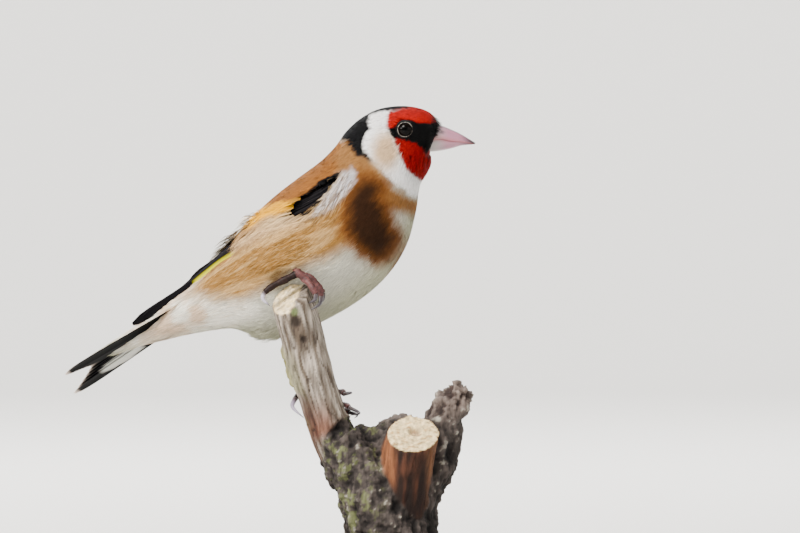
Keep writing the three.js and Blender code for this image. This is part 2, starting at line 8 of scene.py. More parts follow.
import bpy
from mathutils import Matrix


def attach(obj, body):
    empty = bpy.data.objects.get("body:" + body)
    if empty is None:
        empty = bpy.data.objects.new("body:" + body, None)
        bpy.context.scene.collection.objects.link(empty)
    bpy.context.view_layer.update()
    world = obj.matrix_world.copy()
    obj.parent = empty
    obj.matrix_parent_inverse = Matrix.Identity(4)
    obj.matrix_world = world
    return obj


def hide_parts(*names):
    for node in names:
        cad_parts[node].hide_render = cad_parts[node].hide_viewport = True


bl_info = {
    "name": "Goldfinch on a Branch",
    "version": (1, 0, 0),
    "blender": (4, 5, 0),
    "location": "View3D > Sidebar > Goldfinch",
    "description": "Builds a feathered goldfinch on a weathered branch around its packed solids",
    "category": "Add Mesh",
}

import math

import bpy
import numpy as np
from mathutils import Vector, noise

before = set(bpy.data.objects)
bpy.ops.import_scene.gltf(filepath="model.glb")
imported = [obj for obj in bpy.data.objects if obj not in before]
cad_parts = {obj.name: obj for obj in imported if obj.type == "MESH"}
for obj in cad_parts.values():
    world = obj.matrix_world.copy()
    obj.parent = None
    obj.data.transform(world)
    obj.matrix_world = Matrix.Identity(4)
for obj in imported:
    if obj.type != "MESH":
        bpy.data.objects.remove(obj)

MM = 0.001

# The body's shape, as in the solids

BODY_DEPTH = 17
BODY_YAW = 8
BODY_ROLL = 13
TAIL_ROLL = 18
PIVOT_X = -11
NECK_X = 6
# [back x, back z, belly x, belly z, half width, height of the widest place, belly roundness]
SECTIONS = np.array([
    [-54.0, 76.4, -55.1, 72.4, 2.0, 0.5, 2.0],
    [-48.1, 81.6, -49.1, 73.2, 5.5, 0.5, 2.0],
    [-41.6, 88.3, -41.6, 74.7, 8.5, 0.52, 1.9],
    [-34.6, 95.9, -31.9, 75.5, 12.0, 0.56, 1.7],
    [-27.5, 103.4, -24.4, 73.2, 15.0, 0.58, 1.6],
    [-20.5, 110.2, -15.4, 73.8, 17.3, 0.56, 1.7],
    [-13.5, 115.7, -4.9, 78.6, 18.6, 0.53, 1.9],
    [-7.6, 120.2, 4.3, 84.7, 18.4, 0.5, 2.0],
    [-3.8, 124.2, 11.1, 91.3, 16.8, 0.5, 2.0],
    [-1.6, 127.5, 15.4, 98.6, 14.6, 0.5, 2.0],
    [0.5, 129.7, 17.6, 106.9, 12.3, 0.5, 2.0],
    [3.2, 131.9, 18.5, 113.4, 10.4, 0.5, 2.0],
    [7.3, 134.1, 19.4, 117.5, 9.2, 0.5, 2.0],
    [12.2, 135.1, 20.8, 120.4, 8.5, 0.5, 2.0],
    [17.3, 134.9, 21.6, 122.3, 7.4, 0.5, 2.0],
    [21.6, 133.4, 22.1, 123.1, 5.7, 0.5, 2.0],
    [24.0, 130.4, 22.4, 123.3, 3.3, 0.5, 2.0],
])
LAST_SECTION = len(SECTIONS) - 1

# The folded wing's upper, middle and lower lines: [section, angle, height over the body]
WING_LINES = np.array([
    [[8.1, 58, -2.6], [7.2, 42, -2.6], [6.2, 33, -2.4], [5.1, 27, -1.8], [4.2, 20, -0.4],
     [3.2, 12, 1.4], [2.2, 11, 2.0], [1.1, 13, 2.3], [-1.1, 22, 4.1]],
    [[8.2, 71, -2.0], [7.3, 66, -0.3], [6.4, 65, 0.0], [5.3, 59, -0.5], [4.3, 53, -1.1],
     [3.3, 44, 0.1], [2.3, 38, 1.0], [1.2, 34, 1.6], [-1.07, 30, 3.6]],
    [[8.3, 82, -3.2], [7.4, 86, -3.6], [6.6, 90, -3.8], [5.6, 92, -3.8], [4.6, 88, -3.6],
     [3.5, 76, -1.4], [2.5, 69, 0.0], [1.4, 60, 0.7], [-1.02, 39, 3.2]],
])
WING_END = WING_LINES.shape[1] - 1

TAIL_ROOT = np.array([-44.5, 21.6, 80.2])
TAIL_DROP = 32.2
TAIL_YAW = 6

EYE_SECTION = 12.76
EYE_ANGLE = 77
EYE_RADIUS = 2.4
EYE_SINK = 1.75


# Small mathematics


def unit(v):
    """Vectors scaled to a length of one."""
    return v / np.maximum(np.linalg.norm(v, axis=-1, keepdims=True), 1e-9)


def smooth(x, low, high):
    """A soft step from 0 at low to 1 at high. With low above high it falls instead."""
    t = np.clip((x - low) / (high - low), 0, 1)
    return t * t * (3 - 2 * t)


def mix(a, b, t):
    """From a, where t is 0, to b, where t is 1."""
    return a * (1 - t) + b * t


def spline(rows, t):
    """Uniform Catmull-Rom through rows, with t from 0 at the first to 1 at the last."""
    rows = np.asarray(rows, float)
    ends = [2 * rows[0] - rows[1]], [2 * rows[-1] - rows[-2]]
    padded = np.concatenate([ends[0], rows, ends[1]])
    place = np.clip(np.asarray(t, float), 0, 1) * (len(rows) - 1)
    k = np.minimum(place.astype(int), len(rows) - 2)
    u = (place - k)[..., None]
    a, b, c, d = (padded[k + i] for i in range(4))
    m0, m1 = (c - a) / 2, (d - b) / 2
    return (2 * b - 2 * c + m0 + m1) * u**3 + (3 * c - 3 * b - 2 * m0 - m1) * u**2 + m0 * u + b


def hash01(*whole):
    """A repeatable value from 0 to 1 for whole numbers."""
    total = sum(np.asarray(w, float) * k for w, k in zip(whole, (12.9898, 78.233, 37.719)))
    return np.modf(np.abs(np.sin(total) * 43758.5453))[0]


def fuzz(x, y, size, seed=0):
    """Smooth noise from -1 to 1 over a plane, with features about size across."""
    x, y = x / size, y / size
    i, j = np.floor(x), np.floor(y)
    u, v = x - i, y - j
    u, v = u * u * (3 - 2 * u), v * v * (3 - 2 * v)
    corner = lambda di, dj: hash01(i + di, j + dj, np.full_like(i, seed))
    low = mix(corner(0, 0), corner(1, 0), u)
    high = mix(corner(0, 1), corner(1, 1), u)
    return mix(low, high, v) * 2 - 1


def srgb(text):
    """Linear colour for a hex sRGB colour such as 'b98a5c'."""
    values = [int(text[i:i + 2], 16) / 255 for i in (0, 2, 4)]
    return np.array([v / 12.92 if v <= 0.04045 else ((v + 0.055) / 1.055) ** 2.4 for v in values])


def tint(colour, shade, share):
    """A colour turned toward a hex shade, by a share for each place."""
    return mix(colour, srgb(shade), np.asarray(share)[..., None])


# Places on the body, wings and tail


def side_of(angle):
    """An angle round the body on either side, from 0 at the back to 180 at the belly."""
    return np.abs((np.asarray(angle) + 180) % 360 - 180)


def sections(s):
    """Frames of the body at sections s: centre, up, side, and its reach above, below and to the side."""
    s = np.asarray(s, float)
    row = spline(SECTIONS, s / LAST_SECTION)
    back = np.stack([row[..., 0], np.zeros_like(s), row[..., 1]], -1)
    belly = np.stack([row[..., 2], np.zeros_like(s), row[..., 3]], -1)
    waist = row[..., 5]
    centre = mix(belly, back, waist[..., None])
    forward = np.minimum(centre[..., 0], NECK_X) - PIVOT_X
    centre[..., 1] = BODY_DEPTH - forward * math.tan(math.radians(BODY_YAW))
    height = np.linalg.norm(back - belly, axis=-1)
    rise = unit(back - belly)
    turned = 1 - smooth(s, 8, 12)
    yaw = np.radians(BODY_YAW) * turned
    roll = np.radians(mix(BODY_ROLL * turned, TAIL_ROLL, 1 - smooth(s, 0, 3)))
    level = np.stack([-np.sin(yaw), -np.cos(yaw), np.zeros_like(s)], -1)
    upright = np.stack([rise[..., 0] * np.cos(yaw), -rise[..., 0] * np.sin(yaw), rise[..., 2]], -1)
    c, w = np.cos(roll)[..., None], np.sin(roll)[..., None]
    return {
        "centre": centre,
        "up": upright * c - level * w,
        "side": level * c + upright * w,
        "above": height * (1 - waist),
        "below": height * waist,
        "half": row[..., 4],
        "full": row[..., 6],
    }


_ends = sections(np.array([0.0, 1.0]))["centre"]
TAIL_TANGENT = _ends[0] - _ends[1]


def on_body(s, angle, height=0.0):
    """Places on the body's surface, or a height over it. Angles run from the back to the right side."""
    s, angle, height = np.broadcast_arrays(np.asarray(s, float), angle, height)
    b = sections(s)
    c, w = np.cos(np.radians(angle)), np.sin(np.radians(angle))
    power = 2 / np.where(c > 0, 2, b["full"])
    z = np.sign(c) * np.abs(c) ** power * (np.where(c > 0, b["above"], b["below"]) + height)
    y = np.sign(w) * np.abs(w) ** power * (b["half"] + height)
    beyond = np.maximum(0, -s)[..., None] * TAIL_TANGENT
    return b["centre"] + b["up"] * z[..., None] + b["side"] * y[..., None] + beyond


def body_frame(s, angle):
    """At places on the body: outward normal, millimetres for one section and for one degree."""
    step = 0.04
    along = (on_body(s + step, angle) - on_body(s - step, angle)) / (2 * step)
    round_it = on_body(s, angle + 1) - on_body(s, angle - 1)
    normal = unit(np.cross(round_it, along))
    outward = on_body(s, angle) - sections(s)["centre"]
    flip = np.where((normal * outward).sum(-1, keepdims=True) < 0, -1.0, 1.0)
    return normal * flip, np.linalg.norm(along, axis=-1), np.linalg.norm(round_it, axis=-1) / 2


def wing_sheet(hand, k, v):
    """The folded wing's sheet: k from the wrist to the tip, v from the upper edge to the lower one."""
    k, v = np.broadcast_arrays(np.asarray(k, float), v)
    lines = []
    for line in WING_LINES:
        knots = on_body(line[:, 0], hand * line[:, 1], line[:, 2])
        lines.append(spline(knots, k / WING_END))
    a, m, b = lines
    v = v[..., None]
    bend = 2 * m - a / 2 - b / 2
    return a * (1 - v) ** 2 + bend * 2 * v * (1 - v) + b * v**2


def wing_out(hand, k, v):
    """The way out of the wing's sheet, away from the body."""
    near = np.minimum(k, WING_END - 0.02)
    length = wing_sheet(hand, near + 0.02, v) - wing_sheet(hand, near, v)
    width = wing_sheet(hand, near, v + 0.02) - wing_sheet(hand, near, v - 0.02)
    return unit(-hand * np.cross(length, width))


def tail_frame():
    """The tail's own directions: along it, toward its near side, and up from it."""
    drop, yaw, roll = (math.radians(a) for a in (TAIL_DROP, TAIL_YAW, TAIL_ROLL))
    length = np.array([-math.cos(drop) * math.cos(yaw), math.cos(drop) * math.sin(yaw), -math.sin(drop)])
    level = np.array([-math.sin(yaw), -math.cos(yaw), 0])
    upright = -np.cross(level, length)
    side = level * math.cos(roll) + upright * math.sin(roll)
    up = upright * math.cos(roll) - level * math.sin(roll)
    return length, side, up


# Markings
# Drawn on the side of the bird, in millimetres (x, z) of the row frame, and mirrored to the far side. Each
# outline is filled with its colour, and soft is the width of its edge.

PLUMAGE = {name: srgb(shade) for name, shade in {
    "back": "7f4f22", "nape": "845c33", "flank": "86602f", "flank_pale": "d3b27c", "belly": "bcbaac",
    "belly_underside_shade": "9a9a78", "vent": "dcd8cc", "breast": "2a180b", "breast_edge": "78481c", "white": "efedec",
    "buff": "b9935f", "black": "040405", "crown": "060608", "red": "850504", "red_bright": "9a0903",
    "yellow": "d09400", "streak": "b8b6ba", "rump_tan": "b07f4a", "wing_edge": "c0a480", "grey": "a9a7a3",
}.items()}


def inside(outline, x, z):
    """Signed distance from a closed outline, positive inside it."""
    outline = np.asarray(outline, float)
    nearest = np.full(x.shape, 1e9)
    odd = np.zeros(x.shape, bool)
    for (x0, z0), (x1, z1) in zip(outline, np.roll(outline, -1, axis=0)):
        dx, dz = x1 - x0, z1 - z0
        t = np.clip(((x - x0) * dx + (z - z0) * dz) / (dx * dx + dz * dz), 0, 1)
        nearest = np.minimum(nearest, np.hypot(x - x0 - t * dx, z - z0 - t * dz))
        crosses = (z0 > z) != (z1 > z)
        odd ^= crosses & (x < x0 + (z - z0) * dx / (dz if dz else 1e-9))
    return np.where(odd, nearest, -nearest)


OUTLINES = {
    "back": [(-0.3, 124.2), (1.6, 122.3), (3.8, 121.2), (5.9, 120.4), (6.5, 118.0), (0.5, 118.6),
        (-2.6, 116.4), (-6.8, 111.8), (-13.8, 107.6), (-16.2, 107.4), (-23.8, 107.5), (-28.6, 104.8),
        (-31.9, 101.3), (-36.5, 100.5), (-36.5, 110.0), (-13.5, 123.4), (-5.4, 131.5)],
    "nape": [(-1.1, 126.1), (5.9, 120.4), (9.7, 116.9), (12.4, 114.2), (6.5, 115.8), (0.5, 113.7),
        (-1.4, 116.7), (-4.1, 120.7)],
    "flank": [(-33.8, 105.0), (-23.8, 104.6), (-15.6, 106.6), (-8.0, 109.6), (-0.4, 117.0),
        (3.0, 112.0), (1.6, 101.8), (0.5, 97.5), (-5.4, 94.6), (-12.2, 91.8), (-18.9, 88.6),
        (-23.8, 85.0), (-29.7, 83.0), (-35.6, 83.8), (-40.5, 84.4), (-43.2, 84.9), (-40.2, 89.8),
        (-35.9, 96.2)],
    "vent": [(-46.0, 86.5), (-40.0, 86.5), (-34.0, 83.5), (-26.0, 84.0), (-24.0, 80.0), (-31.0, 76.0),
        (-40.0, 74.5), (-50.0, 72.0), (-62.0, 70.0), (-62.0, 76.0), (-53.0, 82.5)],
    "wing_edge": [(-9.5, 106.8), (-15.5, 106.4), (-22.0, 103.8), (-28.0, 101.2), (-33.5, 97.6),
        (-31.0, 95.2), (-25.0, 98.6), (-18.0, 101.6), (-11.0, 104.2)],
    "breast": [(0.5, 113.7), (3.2, 116.4), (6.5, 116.4), (9.7, 114.2), (8.9, 111.0), (10.8, 108.3),
        (11.3, 104.5), (13.5, 100.2), (12.7, 97.2), (10.5, 94.5), (7.6, 93.7), (3.8, 95.3), (0.5, 98.6),
        (-1.6, 102.3), (-1.1, 107.8)],
    "front_band": [(5.4, 118.0), (9.2, 115.8), (12.4, 113.1), (16.2, 111.0), (21.6, 109.9),
        (21.6, 106.7), (16.7, 106.1), (13.0, 107.2), (9.5, 107.8), (5.9, 109.9)],
    "streak": [(-2.0, 117.4), (0.8, 119.2), (2.4, 116.8), (0.6, 112.6), (-2.4, 109.0), (-6.0, 106.4),
        (-10.2, 104.9), (-8.4, 108.2), (-6.0, 111.4), (-4.2, 114.2)],
    "yellow": [(-15.2, 108.8), (-18.9, 109.1), (-23.8, 107.8), (-28.9, 105.2), (-31.6, 102.2),
        (-26.8, 102.4), (-21.6, 104.9), (-15.8, 106.2)],
    "white": [(11.1, 134.8), (18.9, 134.2), (24.3, 123.4), (24.3, 114.3), (20.2, 110.9), (16.7, 111.2),
        (14.3, 113.1), (11.9, 115.0), (9.7, 117.2), (7.6, 119.4), (4.9, 122.1), (2.7, 126.1),
        (3.8, 132.0), (5.9, 134.8)],
    "crown": [(17.0, 136.8), (17.3, 134.9), (14.9, 134.2), (13.0, 133.9), (11.1, 133.9), (8.1, 133.5),
        (5.7, 132.6), (4.9, 131.0), (5.5, 129.3), (4.1, 127.2), (3.8, 124.5), (4.3, 122.9),
        (5.9, 120.4), (3.8, 121.2), (1.6, 122.3), (-0.3, 124.2), (-1.6, 126.6), (-4.0, 131.0),
        (5.4, 140.0), (13.5, 140.0)],
    "face": [(10.5, 129.2), (11.6, 131.5), (14.4, 132.5), (17.6, 132.2), (20.4, 131.6), (24.3, 132.6),
        (25.9, 129.3), (25.9, 122.6), (23.2, 121.8), (20.2, 122.1), (18.6, 123.4), (15.9, 125.0),
        (12.2, 126.1), (10.9, 127.6)],
    "upper_red": [(10.1, 129.6), (10.4, 131.9), (11.1, 133.8), (13.2, 134.1), (15.9, 134.8),
        (17.6, 136.8), (20.5, 137.0), (24.5, 134.5), (24.8, 130.8), (23.2, 130.7), (21.3, 130.3),
        (19.2, 130.4), (17.0, 131.0), (15.4, 131.5), (13.5, 131.2), (12.2, 130.2), (11.3, 129.2)],
    "lower_red": [(12.7, 126.5), (12.3, 125.6), (13.2, 123.1), (14.0, 120.7), (15.4, 118.0),
        (17.0, 116.9), (18.4, 116.1), (20.5, 115.8), (22.7, 118.0), (24.8, 121.2), (23.8, 122.7),
        (20.2, 122.5), (19.2, 123.7), (17.8, 125.0), (15.7, 125.7), (14.0, 126.0)],
}
# Markings laid one over the next: outline, colour, softness of the edge, and reach past the outline
BODY_LAYERS = [
    ("wing_edge", "wing_edge", 3.0, -1.3), ("back", "back", 1.6), ("nape", "nape", 1.6),
    # The breast patch is brown at its edge; its near-black core is painted shade, for the shade it lies in
    ("front_band", "nape", 1.6), ("breast", "breast_edge", 2.4, 1.2), ("breast", "breast", 3.0, -0.9),
    ("streak", "streak", 1.0, -0.5), ("yellow", "yellow", 0.9),
]
HEAD_LAYERS = [
    ("crown", "crown", 0.4), ("face", "black", 0.4), ("upper_red", "red_bright", 0.4),
    ("lower_red", "red", 0.4),
]
# Black wing coverts that show between the shoulder feathers and the flank
COVERT_PATCH = [(-1.6, 117.6), (-4.6, 113.6), (-6.4, 111.2), (-8.4, 109.0), (-9.4, 106.8),
    (-11.6, 105.8), (-14.4, 105.4), (-16.8, 105.7), (-15.8, 107.6), (-14.6, 109.3), (-12.2, 111.2),
    (-9.6, 113.3), (-6.4, 115.4), (-3.4, 117.1)]


def side_view(s, angle):
    """Where a place shows on the side of the bird, in (x, z), the same for both sides."""
    flank = on_body(s, side_of(angle))
    return flank[..., 0], flank[..., 2]


def plumage(s, angle, ragged=1.0):
    """The plumage's colour at places on the body."""
    x, z = side_view(s, angle)
    side = side_of(angle)
    trunk = 1 - smooth(s, 8.5, 9.8)
    locks = trunk * fuzz(side / 3.0, s / 0.9, 1.0, 7)
    wander_x = ragged * (0.28 * fuzz(x, z, 0.8, 1) + 0.3 * fuzz(x, z, 2.4, 2) + 0.55 * locks)
    wander_z = ragged * (0.28 * fuzz(x, z, 0.8, 3) + 0.3 * fuzz(x, z, 2.4, 4) + 0.3 * locks)
    x, z = x + wander_x, z + wander_z

    def lay(colour, name, shade, soft, reach=0.0):
        share = smooth(inside(OUTLINES[name], x, z) + reach, -soft, soft)[..., None]
        return mix(colour, PLUMAGE[shade], share)

    # Painted shade: the belly's grey is a little darker than its white feathers, and towards the underside
    # it turns a darker green-grey, for the shade under the body
    colour = np.broadcast_to(PLUMAGE["belly"], x.shape + (3,))
    colour = mix(colour, PLUMAGE["belly_underside_shade"], smooth(side, 140, 175)[..., None] * 0.6)
    colour = lay(colour, "vent", "vent", 2.5)
    patches = smooth(fuzz(x, z, 5.0, 9), 0.1, 0.6) * smooth(inside(OUTLINES["vent"], x, z), -1, 3)
    colour = mix(colour, PLUMAGE["rump_tan"], 0.55 * patches[..., None])
    colour = lay(colour, "flank", "flank", 3.0)
    silk = smooth(fuzz(side / 5.0, s / 1.3, 1.0, 5) + 0.5 * fuzz(side / 2.2, s / 0.9, 1.0, 6), 0.0, 0.8)
    silk = silk * smooth(inside(OUTLINES["flank"], x, z), -2, 2)
    colour = mix(colour, PLUMAGE["flank_pale"], 0.36 * silk[..., None])
    for layer in BODY_LAYERS:
        colour = lay(colour, *layer)
    coverts = smooth(inside(COVERT_PATCH, x, z), -0.2, 0.3)[..., None]
    colour = mix(colour, PLUMAGE["black"], coverts)
    colour = lay(colour, "white", "white", 0.7)
    buff = 1 - np.hypot((x - 9.8) / 5.2, (z - 123.0) / 7.2)
    colour = mix(colour, PLUMAGE["buff"], smooth(buff, -0.1, 0.7)[..., None] * 0.85)
    for layer in HEAD_LAYERS:
        colour = lay(colour, *layer)
    return colour


# Materials


def add_node(tree, kind, inputs=None, **settings):
    """A shader node with its settings, and inputs given as values or as sockets to link from."""
    node = tree.nodes.new(kind)
    for name, value in settings.items():
        setattr(node, name, value)
    for key, value in (inputs or {}).items():
        if isinstance(value, bpy.types.NodeSocket):
            tree.links.new(value, node.inputs[key])
        else:
            node.inputs[key].default_value = value
    return node


def shader(name, **constants):
    """A material with a bare principled shader, and the shader itself."""
    material = bpy.data.materials.new(name)
    material.use_nodes = True
    tree = material.node_tree
    surface = tree.nodes["Principled BSDF"]
    for key, value in constants.items():
        surface.inputs[key.replace("_", " ")].default_value = value
    return material, tree, surface


def painted(name, bump=None, mottle=None, **constants):
    """A material with the mesh's own colours, and with a bump and a mottle where these are given."""
    material, tree, surface = shader(name, **constants)
    paint = add_node(tree, "ShaderNodeVertexColor", layer_name="Paint").outputs["Color"]
    if mottle:
        tone = add_node(tree, "ShaderNodeMapRange", {0: mottle(tree)[0], 1: 0.3, 2: 0.7, 3: 0.45, 4: 1.3})
        toned = add_node(tree, "ShaderNodeVectorMath", {0: paint, 3: tone.outputs[0]}, operation="SCALE")
        paint = toned.outputs[0]
    tree.links.new(paint, surface.inputs["Base Color"])
    if bump:
        height, distance = bump(tree)
        made = add_node(tree, "ShaderNodeBump", {"Height": height, "Strength": 1.0, "Distance": distance})
        tree.links.new(made.outputs["Normal"], surface.inputs["Normal"])
    return material


# Real barbs lie under 0.1 mm apart, too fine to show, so they are drawn about three times as coarse
BARB_GAP = math.pi / 10
BARB_SLANT = 0.12
BARB_DEPTH = 0.004
# Units of a vane's own map for one millimetre
VANE_MAP = 0.02


def feather_barbs(tree):
    """Fine slanting barbs on each side of a feather's shaft, from its own map."""
    place = add_node(tree, "ShaderNodeUVMap", uv_map="Vane")
    split = add_node(tree, "ShaderNodeSeparateXYZ", {"Vector": place.outputs["UV"]})
    off = add_node(tree, "ShaderNodeMath", {0: split.outputs["X"]}, operation="ABSOLUTE")
    slant = add_node(tree, "ShaderNodeMath", {0: off.outputs[0], 1: -BARB_SLANT, 2: split.outputs["Y"]},
                     operation="MULTIPLY_ADD")
    turns = 2 * math.pi / (BARB_GAP * VANE_MAP)
    barbs = add_node(tree, "ShaderNodeMath", {0: slant.outputs[0], 1: turns}, operation="MULTIPLY")
    wave = add_node(tree, "ShaderNodeMath", {0: barbs.outputs[0]}, operation="SINE")
    return wave.outputs[0], BARB_DEPTH * MM


def fine_grain(size, distance, detail=4.0, stretch=(1.0, 1.0, 1.0)):
    """A bump of small grain, size across in mm, stretched along the axes of the part."""

    def build(tree):
        place = add_node(tree, "ShaderNodeTexCoord")
        scale = add_node(tree, "ShaderNodeVectorMath", {0: place.outputs["Object"], 1: stretch},
                         operation="MULTIPLY")
        grain = add_node(tree, "ShaderNodeTexNoise",
                         {"Vector": scale.outputs[0], "Scale": 1 / (size * MM), "Detail": detail})
        return grain.outputs["Fac"], distance * MM

    return build


STAND_COLOUR = "2b2826"
FLOOR_COLOUR = "e2e0dc"
MATERIALS = {}


def material(name):
    """The part's finishes, each made once."""
    if name in MATERIALS:
        return MATERIALS[name]
    if name == "plumage":
        # Contour feathers, grown with loose barbs: matt and soft, with a faint sheen where they turn away
        made = painted("soft_plumage", Roughness=0.65, Sheen_Weight=0.03, Sheen_Roughness=0.5,
                       Specular_IOR_Level=0.06)
    elif name == "vane":
        # Flight feathers, grown with hooked barbs: a firm, dull web with fine slanting lines
        made = painted("flight_feather_vanes", feather_barbs, Roughness=0.6, Specular_IOR_Level=0.03)
    elif name == "eye":
        # Cornea, kept wet by the lids: a deep black that mirrors only the lamps
        made = painted("wet_eye", Roughness=0.015, IOR=1.38, Specular_IOR_Level=0.1)
    elif name == "lid":
        # Bare skin of the eyelids, dry and scaly: a dull ring of pale dashes
        made = painted("eyelid_rim", Roughness=0.5, Specular_IOR_Level=0.08)
    elif name == "bill":
        # Keratin horn, grown in thin layers: smooth, slightly see-through, with a soft shine
        made = painted("bill_horn", fine_grain(0.35, 0.012), Roughness=0.36, Subsurface_Weight=0.12,
                       Subsurface_Scale=0.8 * MM, Specular_IOR_Level=0.5)
    elif name == "leg":
        # Dry scaled skin, tight over the bone: little shine, broken up by the grain
        made = painted("scaled_skin", fine_grain(0.25, 0.03), Roughness=0.5, Subsurface_Weight=0.02,
                       Subsurface_Scale=0.4 * MM, Specular_IOR_Level=0.14)
    elif name == "claw":
        # Keratin horn, worn smooth on bark: a clear, narrow shine along the curve
        made = painted("claw_horn", Roughness=0.3, Specular_IOR_Level=0.55)
    elif name == "wood":
        # Dead wood, dried and split outdoors: matt, with fibres along the stem and uneven greys
        made = painted("weathered_wood", fine_grain(0.5, 0.2, 6.0, (1.0, 1.0, 0.12)),
                       fine_grain(1.1, 0.0, 5.0, (1.0, 1.0, 0.14)), Roughness=0.85, Specular_IOR_Level=0.2)
    elif name == "stand":
        # Mild steel, spray-painted: an even dark satin
        made, _, surface = shader("satin_painted_steel", Roughness=0.38, Metallic=0.0)
        surface.inputs["Base Color"].default_value = (*srgb(STAND_COLOUR), 1)
    elif name == "floor":
        # Uncoated paper off a roll: pale and fully matt
        made, _, surface = shader("pale_paper", Roughness=0.9, Specular_IOR_Level=0.1)
        surface.inputs["Base Color"].default_value = (*srgb(FLOOR_COLOUR), 1)
    MATERIALS[name] = made
    return made


# Meshes


def build_mesh(name, points, quads, tris, colours, finish, bake=None, vane=None, lie=None):
    """A mesh object from arrays in mm, with its paint, its finish, its maps and its own shading normals."""
    points = np.asarray(points, float).reshape(-1, 3)
    quads = np.asarray(quads, np.int32).reshape(-1, 4)
    tris = np.asarray(tris, np.int32).reshape(-1, 3)
    corners = np.concatenate([quads.ravel(), tris.ravel()]).astype(np.int32)
    sizes = np.concatenate([np.full(len(quads), 4), np.full(len(tris), 3)])
    starts = np.concatenate([[0], np.cumsum(sizes)[:-1]]).astype(np.int32)
    mesh = bpy.data.meshes.new(name)
    mesh.vertices.add(len(points))
    mesh.vertices.foreach_set("co", (points * MM).astype(np.float32).ravel())
    mesh.loops.add(len(corners))
    mesh.loops.foreach_set("vertex_index", corners)
    mesh.polygons.add(len(sizes))
    mesh.polygons.foreach_set("loop_start", starts)
    mesh.polygons.foreach_set("use_smooth", np.ones(len(sizes), bool))
    mesh.update(calc_edges=True)
    paint = mesh.color_attributes.new("Paint", "FLOAT_COLOR", "POINT")
    rgba = np.ones((len(points), 4), np.float32)
    rgba[:, :3] = np.broadcast_to(colours, (len(points), 3))
    paint.data.foreach_set("color", rgba.ravel())
    for title, at in (("OFBake", bake), ("Vane", vane)):
        if at is not None:
            layer = mesh.uv_layers.new(name=title)
            layer.data.foreach_set("uv", np.asarray(at, np.float32)[corners].ravel())
    mesh.materials.append(material(finish))
    if lie is not None:
        mesh.normals_split_custom_set_from_vertices(np.asarray(lie, np.float32).reshape(-1, 3).tolist())
    made = bpy.data.objects.new(name, mesh)
    bpy.context.scene.collection.objects.link(made)
    return made


def place_piece(piece, slot, *nodes):
    """Sets a finished piece on the bird's one body, in place of the solids that it stands for."""
    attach(piece, "root")
    if nodes:
        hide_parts(*nodes)
    return piece


def grid_faces(rows, columns, closed):
    """Quads of a grid of points, row by row, closed round each row or not."""
    i = np.arange(rows - 1)[:, None] * columns
    j = np.arange(columns if closed else columns - 1)[None, :]
    k = (j + 1) % columns
    return np.stack([i + j, i + k, i + k + columns, i + j + columns], -1).reshape(-1, 4)


def end_caps(rows, columns):
    """Fans over the first and last rows of a closed grid, round two hubs that follow its points."""
    j = np.arange(columns)
    k = (j + 1) % columns
    hub = np.full(columns, rows * columns)
    far = (rows - 1) * columns
    return np.concatenate([np.stack([hub, k, j], -1), np.stack([hub + 1, far + j, far + k], -1)])


def merged(parts):
    """Several (points, quads, tris, colours, bake, vane) sets as one."""
    out = [[], [], [], [], [], []]
    base = 0
    for points, quads, tris, colours, bake, vane in parts:
        out[0].append(points)
        out[1].append(np.asarray(quads, int).reshape(-1, 4) + base)
        out[2].append(np.asarray(tris, int).reshape(-1, 3) + base)
        out[3].append(np.broadcast_to(colours, (len(points), 3)))
        out[4].append(bake if bake is not None else np.zeros((len(points), 2)))
        out[5].append(vane if vane is not None else np.zeros((len(points), 2)))
        base += len(points)
    return [np.concatenate(group) for group in out]


def tube(line, radii, sides, rings, wobble=None, flatten=1.0):
    """A closed tube along a smooth line, with radii spread evenly over it: points, quads and tris."""
    t = np.linspace(0, 1, rings)
    centre = spline(line, t)
    lengths = np.concatenate([[0], np.cumsum(np.linalg.norm(np.diff(centre, axis=0), axis=1))])
    t = np.interp(np.linspace(0, lengths[-1], rings), lengths, t)
    centre = spline(line, t)
    radius = spline(np.asarray(radii, float)[:, None], np.linspace(0, 1, rings))[:, 0]
    tangent = unit(np.gradient(centre, axis=0))
    normal = np.zeros_like(tangent)
    normal[0] = unit(np.cross(tangent[0], [0.31, 0.87, 0.39]))
    for i in range(1, rings):
        last = normal[i - 1]
        normal[i] = unit(last - tangent[i] * (last @ tangent[i]))
    other = np.cross(tangent, normal)
    a = np.linspace(0, 2 * np.pi, sides, endpoint=False)
    r = np.broadcast_to(radius[:, None], (rings, sides)).copy()
    if wobble is not None:
        r += wobble(np.linspace(0, 1, rings)[:, None], a[None, :])
    ring = normal[:, None] * np.cos(a)[None, :, None] + other[:, None] * np.sin(a)[None, :, None] * flatten
    points = (centre[:, None] + ring * r[..., None]).reshape(-1, 3)
    points = np.concatenate([points, centre[[0, -1]]])
    return points, grid_faces(rings, sides, True), end_caps(rings, sides)


# The perch's stem, which skin and coat lie around

STEM_LINE = np.array([
    [-17.4, 0, 91.0], [-15.2, 0, 83.0], [-12.9, 0, 74.0], [-10.2, 0, 64.0],
    [-7.7, 0, 55.9], [-5.7, 0, 50.0], [-2.6, 0, 42.0], [1.0, 0, 35.0],
])
STEM_RADIUS = 5.85


def behind_stem(points, clear):
    """Points with those inside the stem moved to its back, so that the belly lies round it."""
    x0 = np.interp(points[..., 2], STEM_LINE[::-1, 2], STEM_LINE[::-1, 0])
    across = points[..., 0] - x0
    dome = np.sqrt(np.clip(1 - (np.maximum(points[..., 2] - 85.5, 0) / 6.0) ** 2, 0, 1))
    reach = (STEM_RADIUS + clear) * dome
    back = np.sqrt(np.maximum(reach**2 - across**2, 0))
    held = (np.abs(across) < reach) & (points[..., 1] > -reach)
    pushed = points.copy()
    pushed[..., 1] = np.where(held & (points[..., 1] < back), back, points[..., 1])
    return pushed


# Skin and coat

